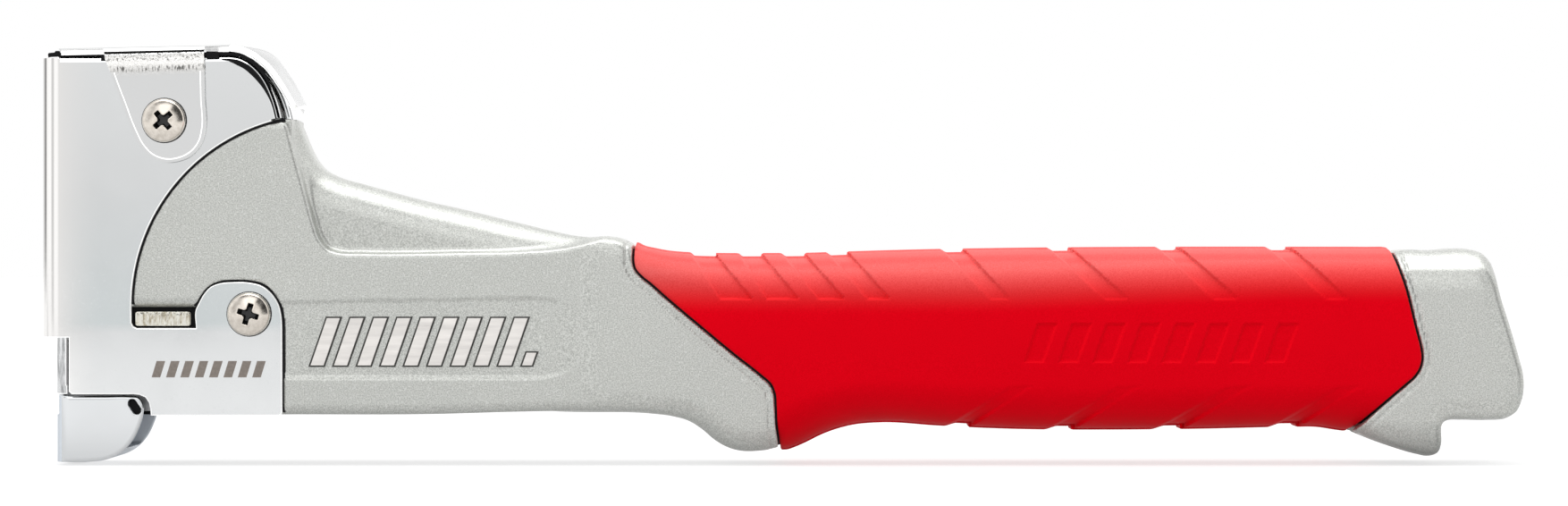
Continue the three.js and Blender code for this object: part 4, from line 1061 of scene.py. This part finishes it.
# ------------------------------------------------------------------ pan-head screws
def pan(X, Y, Z):
    """Pan head along +Z, seat at z = 0, with a tapered cross recess."""
    r = np.hypot(X, Y)
    dome = np.sqrt(r * r + (Z + 5.45) ** 2) - 8.6
    head = both(both(r - 4.75, -Z, 0.12), dome, 0.55)
    head = np.minimum(head, both(r - 4.98, np.abs(Z - 0.1) - 0.1, 0.05))
    depth = np.clip((3.15 - Z) / 2.0, 0, 1)
    w = 0.62 - 0.14 * depth
    l = 2.65 - 1.1 * depth
    a = both(np.abs(X) - w, np.abs(Y) - l, 0.1)
    b = both(np.abs(Y) - w, np.abs(X) - l, 0.1)
    cross = join(a, b, 0.28)
    centre = np.hypot(X, Y) - (1.15 - 0.5 * depth)
    cross = join(cross, centre, 0.15)
    cross = np.maximum(cross, 1.1 - Z)
    shank = np.maximum(np.maximum(r - 2.4, Z - 0.5), -2.0 - Z)
    return np.minimum(less(head, cross, 0.12), shank)


P, quads, normals = surface(pan, (-5.2, -5.2, -2.6), (5.2, 5.2, 3.6), 0.13)
mid = P[quads].mean(1)
radius = np.hypot(mid[:, 0], mid[:, 1])
sunk = (radius > 4.7) & (mid[:, 2] < 0.24) | (radius < 3.3) & (np.hypot(radius, mid[:, 2] + 5.45) < 8.6 - 0.16) & (mid[:, 2] > 0.6)
recess = make_steel("recess_shadow", 0.055, 0.4)
for name, x, z, y, turn in (
    ("upper_screw", 19.6, 74.9, 16.92, 41.0), ("lower_screw", 38.0, 32.5, 15.22, 73.0),
):
    for side, s in (("left", -1), ("right", 1)):
        a = math.radians(turn) + (0.5 if s > 0 else 0)
        c, d = math.cos(a), math.sin(a)
        U = P[:, 0] * c - P[:, 1] * d
        Vv = P[:, 0] * d + P[:, 1] * c
        NU, NV = normals[:, 0] * c - normals[:, 1] * d, normals[:, 0] * d + normals[:, 1] * c
        co = np.stack([x + U, s * (y + P[:, 2]), z + Vv * (1 if s < 0 else -1)], 1) * MM
        no = np.stack([NU, s * normals[:, 2], NV * (1 if s < 0 else -1)], 1)
        me = bpy.data.meshes.new(f"{name}_{side}_head")
        me.from_pydata(co.tolist(), [], quads.tolist())
        me.polygons.foreach_set("use_smooth", np.ones(len(me.polygons), bool))
        me.update()
        if (me.polygons[0].normal.dot(Vector(no[quads[0][0]]))) < 0:
            me.flip_normals()
        me.normals_split_custom_set_from_vertices(no.tolist())
        ob = bpy.data.objects.new(f"{name}_{side}_head", me)
        scene.collection.objects.link(ob)
        finish(ob, "body", nickel, [f"{name}_{side}"])
        ob.data.materials.append(recess)
        ob.data.polygons.foreach_set("material_index", sunk.astype(np.int32))

# ------------------------------------------------------------------ nose
NOSE = Field([curve([(-4.7, 0.0, S), (2.6, 0.0), (6.4, 0.5), (9.6, 2.0), (12.0, 4.5), (13.6, 7.6), (14.5, 10.8), (14.5, 12.8), (13.4, 14.3), (11.6, 14.5), (6.0, 14.5), (-4.7, 14.5, S)], 0.5)],
             x0=-12, x1=24, z0=-8, z1=24, step=0.1)


def nose(X, Y, Z):
    ay = np.abs(Y)
    body = both(NOSE(X, Z), ay - 13.4, 0.7)
    body = np.maximum(body, both(-4.7 - X, ay - 13.4, 3.0))
    hollow = both(np.maximum(-3.4 - X, 3.0 - Z), ay - 12.1, 0.8)
    body = less(body, hollow, 0.3)
    blockf = both(np.maximum(np.maximum(-3.6 - X, X - 5.0), np.maximum(2.0 - Z, Z - 10.7)), ay - 7.4, 0.3)
    body = join(body, blockf, 0.5)
    body = less(body, both(np.abs(X + 1.95) - 1.35, ay - 5.5, 0.15), 0.15)
    body = less(body, np.maximum(np.maximum(-3.3 - X, X - 12), np.maximum(10.7 - Z, ay - 7.1)), 0.1)
    body = less(body, np.maximum(np.maximum(X + 3.35, 10.4 - Z), ay - 12), 0.1)
    along, across = (X - 12.6) * 0.55 - (Z - 12.1) * 0.835, (X - 12.6) * 0.835 + (Z - 12.1) * 0.55
    return less(body, np.maximum(np.hypot(np.maximum(np.abs(along) - 0.9, 0), across) - 0.95, 9.0 - ay), 0.1)


from_field("nose_body", nose, (-6, -14.5, -1.2), (16, 14.5, 15.6), 0.28, "magazine", nose_chrome, "chrome_sheet", "nose_shoe")

# dark plates behind the slot in each nose flank: painted shade of the hollow seen through it
for s in (-1, 1):
    b = plate([[(10.6, 9.6), (13.7, 9.6), (13.7, 13.6), (10.6, 13.6)]], 0.5, 0.1, 1)
    b = place(b, lambda u, v, w, s=s: (u, s * (12.05 + w), v))
    from_bmesh(f"nose_slot_shade_{'left' if s < 0 else 'right'}", b, "magazine", black_rubber, None)

# ------------------------------------------------------------------ guide plate
def guide_map(u, v, w, r=2.55):
    s, a = (1, u) if u >= 0 else (-1, -u)
    flat_half = 13.4 - r
    if a <= flat_half:
        p, n = (-4.7, a), (-1, 0)
    else:
        t = (a - flat_half) / r
        p, n = (-4.7 + r - r * math.cos(t), flat_half + r * math.sin(t)), (-math.cos(t), math.sin(t))
    return (p[0] + n[0] * w, s * (p[1] + n[1] * w), v)


G = 13.4 - 2.55 + 2.55 * math.pi / 2
gp = [(-G, 14.9), (-11.9, 14.9), (-11.7, 14.6), (-11.7, 10.7), (11.7, 10.7), (11.7, 14.6), (11.9, 14.9), (G, 14.9), (G, 16.6), (G - 0.25, 17.0), (G - 0.25, 29.6), (G - 0.6, 30.0)]
gp = gp + [(-G + 0.6, 30.0), (-G + 0.25, 29.6), (-G + 0.25, 17.0), (-G, 16.6)]
bm = plate([gp], 1.3, 0.2, 2)
cut(bm, 0, sorted(s * (13.4 - 2.55 + 2.55 * math.pi / 2 * k / 9) for k in range(9) for s in (1, -1)))
guide = [fold(bm, guide_map)]
from_bmesh("guide_plate_sheet", merge(*guide), "magazine", stroked, "chrome_sheet", "nose_guide_plate")

# ------------------------------------------------------------------ shock blocks with moulded ribs
def block(X, Y, Z):
    body = both(both(np.abs(X - 18.95) - 6.0, np.abs(Z - 31.45) - 1.55, 0.5), np.abs(Y - 11.95) - 2.75, 0.35)
    ribs = 0.42 * step01(np.cos((X - 18.95) * 2 * math.pi / 1.35) - 0.1) * (Y > 13.4) * (np.abs(Z - 31.45) < 1.1)
    return body + ribs


for side, s in (("left", -1), ("right", 1)):
    f = (lambda X, Y, Z: block(X, -Y, Z)) if s < 0 else block
    lo, hi = ((12.6, -15.2, 29.0), (26.2, -8.6, 38.8)) if s < 0 else ((12.6, 8.6, 29.0), (26.2, 15.2, 38.8))
    from_field(f"shock_pad_{side}", f, lo, hi, 0.22, "body", urethane, "urethane", f"shock_block_{side}")

# dark plates behind the shock pads, filling the window round them: painted shade of the hollow behind
for s in (-1, 1):
    b = plate([[(11.6, 28.9), (26.9, 28.9), (26.9, 33.98), (11.6, 33.98)]], 2.4, 0.15, 1)
    b = place(b, lambda u, v, w, s=s: (u, s * (12.5 + w), v))
    from_bmesh(f"shock_pad_shade_backing_{'left' if s < 0 else 'right'}", b, "body", black_rubber, None)

# ------------------------------------------------------------------ printed hatch on the cheeks
marks = []
for s in (-1, 1):
    for i in range(8):
        x = 16.6 + 3.15 * i
        b = plate([[(x, 18.6), (x + 1.9, 18.6), (x + 3.0, 22.2), (x + 1.1, 22.2)]], 0.05, 0.01, 0)
        marks.append(place(b, lambda u, v, w, s=s: (u, s * (HALF + 0.03 + w), v)))
from_bmesh("cheek_hatch", merge(*marks), "body", print_ink, None)

# ------------------------------------------------------------------ springs
def helix(axis, c, length, radius, turns, per_turn, closed=1.0):
    pts = []
    n = int(turns * per_turn)
    for i in range(n + 1):
        t = i / n
        a = 2 * math.pi * turns * t
        q = t * turns
        rise = (q if q < closed else closed + (q - closed)) / turns
        k = min(q / closed, (turns - q) / closed, 1.0)
        w = length * rise
        if axis == "z":
            pts.append((c[0] + radius * math.cos(a), c[1] + radius * math.sin(a), c[2] + w))
        else:
            pts.append((c[0] + w, c[1] + radius * math.cos(a), c[2] + radius * math.sin(a)))
    return pts


ob = from_bmesh("return_coil", tube(helix("z", (54, 0, 28.5), 12.6, 4.2, 4.25, 28), 0.55, 12), "body", wire, "spring_wire", "return_spring", angle=60)
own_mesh(ob)
ob = from_bmesh("pusher_coil", tube(helix("x", (17.6, 0, 18), 277.2, 2.1, 66, 14), 0.3, 7), "loader", wire, "spring_wire", "pusher_spring", angle=60)
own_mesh(ob)


# ------------------------------------------------------------------ carried-over parts
def dress(node, material, bevel=0.15):
    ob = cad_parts[node]
    ob.data.materials.clear()
    ob.data.materials.append(material)
    w = ob.modifiers.new("weld", "WELD")
    w.merge_threshold = 1e-6
    if bevel:
        b = ob.modifiers.new("bevel", "BEVEL")
        b.width, b.segments, b.limit_method, b.angle_limit = bevel * MM, 2, "ANGLE", math.radians(40)
        b.use_clamp_overlap = True
    ob.modifiers.new("normals", "WEIGHTED_NORMAL")


for node, material, bevel in (
    ("rocker_axle", steel, 0.15), ("rocker_bush_left", black_plastic, 0.15), ("rocker_bush_right", black_plastic, 0.15),
    ("rocker_lever", steel, 0.2), ("driver_blade", steel, 0.1), ("driver_wear_plate", steel, 0.15), ("stop_pad", black_rubber, 0.3),
    ("magazine_channel", steel, 0.15), ("staple_rail", steel, 0.1), ("lifter_post", steel, 0.15), ("pivot_pin_left", steel, 0.1),
    ("pivot_pin_right", steel, 0.1), ("pivot_spacer_left", black_plastic, 0.1), ("pivot_spacer_right", black_plastic, 0.1),
    ("spring_seat", steel, 0.1), ("staple_pusher", steel, 0.12), ("pusher_rod", steel, 0.1), ("loader_cap", black_plastic, 0.2),
    ("thumb_catch", chrome, 0.12), ("catch_pin", steel, 0.1),
):
    dress(node, material, bevel)

# ------------------------------------------------------------------ studio
def flat(name, color, strength=0.0, rough=0.8):
    m = bpy.data.materials.new(name)
    m.use_nodes = True
    b = next(n for n in m.node_tree.nodes if n.type == "BSDF_PRINCIPLED")
    b.inputs["Base Color"].default_value = (*color, 1)
    b.inputs["Roughness"].default_value = rough
    if strength:
        b.inputs["Emission Color"].default_value = (*color, 1)
        b.inputs["Emission Strength"].default_value = strength
    return m


def quad(name, corners, material):
    me = bpy.data.meshes.new(name)
    me.from_pydata(corners, [], [(0, 1, 2, 3)])
    ob = bpy.data.objects.new(name, me)
    me.materials.append(material)
    scene.collection.objects.link(ob)
    return ob


def link(tree, a, b):
    tree.links.new(a, b)


floor = flat("floor_white", (0.36, 0.36, 0.36))
ft = floor.node_tree
fb = next(n for n in ft.nodes if n.type == "BSDF_PRINCIPLED")
fb.inputs["Specular IOR Level"].default_value = 0.0
fb.inputs["Emission Color"].default_value = (1, 1, 1, 1)
path = ft.nodes.new("ShaderNodeLightPath")
glow = ft.nodes.new("ShaderNodeMapRange")
for key, v in zip(("From Min", "From Max", "To Min", "To Max"), (0, 1, 0.68, 0.22)):
    glow.inputs[key].default_value = v
link(ft, path.outputs["Is Diffuse Ray"], glow.inputs["Value"])
where = ft.nodes.new("ShaderNodeSeparateXYZ")
link(ft, ft.nodes.new("ShaderNodeTexCoord").outputs["Object"], where.inputs[0])
fade = ft.nodes.new("ShaderNodeMapRange")
fade.interpolation_type = "SMOOTHSTEP"
for key, v in zip(("From Min", "From Max", "To Min", "To Max"), (-1.70, -1.12, 0.52, 1.0)):
    fade.inputs[key].default_value = v
link(ft, where.outputs["Y"], fade.inputs["Value"])
away = ft.nodes.new("ShaderNodeMath")
away.operation = "ABSOLUTE"
link(ft, where.outputs["Y"], away.inputs[0])
near = ft.nodes.new("ShaderNodeMapRange")
near.interpolation_type = "SMOOTHSTEP"
for key, v in zip(("From Min", "From Max", "To Min", "To Max"), (0.05, 0.30, 0.62, 1.0)):
    near.inputs[key].default_value = v
link(ft, away.outputs[0], near.inputs["Value"])
mixed = ft.nodes.new("ShaderNodeMath")
mixed.operation = "MULTIPLY"
link(ft, fade.outputs[0], mixed.inputs[0])
link(ft, near.outputs[0], mixed.inputs[1])
seen = ft.nodes.new("ShaderNodeMath")
seen.operation = "MAXIMUM"
link(ft, mixed.outputs[0], seen.inputs[0])
link(ft, path.outputs["Is Camera Ray"], seen.inputs[1])
both_ways = ft.nodes.new("ShaderNodeMath")
both_ways.operation = "MULTIPLY"
link(ft, glow.outputs[0], both_ways.inputs[0])
link(ft, seen.outputs[0], both_ways.inputs[1])
link(ft, both_ways.outputs[0], fb.inputs["Emission Strength"])
quad("floor", [(-8, -1.68, -0.0008), (8, -1.68, -0.0008), (8, 8, -0.0008), (-8, 8, -0.0008)], floor)

world = bpy.data.worlds.new("studio")
scene.world = world
world.use_nodes = True
nt = world.node_tree
bg = next(n for n in nt.nodes if n.type == "BACKGROUND")


def wnode(kind, **settings):
    n = nt.nodes.new(kind)
    for key, v in settings.items():
        setattr(n, key, v)
    return n


def wmath(op, a, b=0.0):
    n = wnode("ShaderNodeMath", operation=op)
    for key, v in enumerate((a, b)):
        if isinstance(v, (int, float)):
            n.inputs[key].default_value = v
        else:
            nt.links.new(v, n.inputs[key])
    return n.outputs[0]


def wramp(fac, stops):
    n = wnode("ShaderNodeValToRGB")
    e = n.color_ramp.elements
    while len(e) < len(stops):
        e.new(0.5)
    for item, (deg, v) in zip(e, stops):
        item.position = deg / 180.0
    for item, (deg, v) in zip(e, stops):
        item.color = (v / 2, v / 2, v / 2, 1)
    nt.links.new(fac, n.inputs["Fac"])
    return n.outputs["Color"]


xyz = wnode("ShaderNodeSeparateXYZ")
nt.links.new(wnode("ShaderNodeTexCoord").outputs["Generated"], xyz.inputs[0])
theta = wmath("DIVIDE", wmath("ARCCOSINE", wmath("MULTIPLY", xyz.outputs["Y"], -1.0)), math.pi)
LEFT = [(0, 0.88), (10, 0.86), (14, 0.95), (22, 1.12), (40, 1.12), (45, 0.70), (56, 0.70), (63, 1.15), (96, 1.1), (103, 0.34), (124, 0.34), (133, 0.9), (180, 0.9)]
ABOVE = [(0, 0.88), (5, 0.86), (10, 0.74), (17, 1.55), (51, 1.7), (54, 0.06), (62, 0.06), (65, 1.62), (125, 1.62), (129, 0.55), (135, 0.55), (142, 1.15), (180, 1.1)]
RIGHT = [(0, 0.88), (12, 0.84), (20, 1.1), (33, 1.1), (38, 0.05), (66, 0.05), (72, 1.1), (112, 1.15), (118, 0.85), (124, 0.85), (134, 1.2), (180, 1.2)]
turn = wmath("ARCTAN2", xyz.outputs["Z"], xyz.outputs["X"])


def wblend(fac, a, b):
    n = wnode("ShaderNodeMix", data_type="RGBA")
    sockets = {i.name: i for i in n.inputs if i.enabled}
    nt.links.new(fac, sockets["Factor"])
    nt.links.new(a, sockets["A"])
    nt.links.new(b, sockets["B"])
    return next(o for o in n.outputs if o.enabled)


def wrange(value, lo, hi):
    n = wnode("ShaderNodeMapRange", interpolation_type="SMOOTHSTEP")
    n.inputs["From Min"].default_value, n.inputs["From Max"].default_value = lo, hi
    nt.links.new(value, n.inputs["Value"])
    return n.outputs[0]


room = wblend(wrange(turn, math.radians(60), math.radians(71)), wramp(theta, RIGHT), wramp(theta, ABOVE))
room = wblend(wrange(turn, math.radians(108), math.radians(130)), room, wramp(theta, LEFT))
room = wblend(wrange(wmath("MULTIPLY", turn, -1.0), math.radians(85), math.radians(95)), room, wramp(theta, LEFT))
screen = wnode("ShaderNodeMix", data_type="RGBA")
sockets = {i.name: i for i in screen.inputs if i.enabled}
nt.links.new(wnode("ShaderNodeLightPath").outputs["Is Camera Ray"], sockets["Factor"])
nt.links.new(room, sockets["A"])
sockets["B"].default_value = (0.5, 0.5, 0.5, 1)
nt.links.new(next(o for o in screen.outputs if o.enabled), bg.inputs["Color"])
bg.inputs["Strength"].default_value = 2.0


def area(name, location, target, size, power, size_y=None, color=(1, 1, 1)):
    l = bpy.data.lights.new(name, "AREA")
    l.shape, l.size, l.size_y = "RECTANGLE", size, size_y or size
    l.energy, l.color = power, color
    ob = bpy.data.objects.new(name, l)
    ob.location = location
    ob.rotation_euler = (Vector(target) - Vector(location)).to_track_quat("-Z", "Y").to_euler()
    scene.collection.objects.link(ob)


area("top", (0.15, -0.15, 1.1), (0.15, 0, 0.04), 0.8, 3.0, 0.6)

cam = bpy.data.cameras.new("camera")
cam.sensor_width = 36.0
cam.lens = 36.0 * 1.085 / 0.34392
ob = bpy.data.objects.new("camera", cam)
ob.location = (0.15529, -1.1, 0.04588)
ob.rotation_euler = (math.radians(90), 0, 0)
cam.clip_start, cam.clip_end = 0.01, 50
scene.collection.objects.link(ob)
scene.camera = ob
scene.view_settings.view_transform = "Standard"
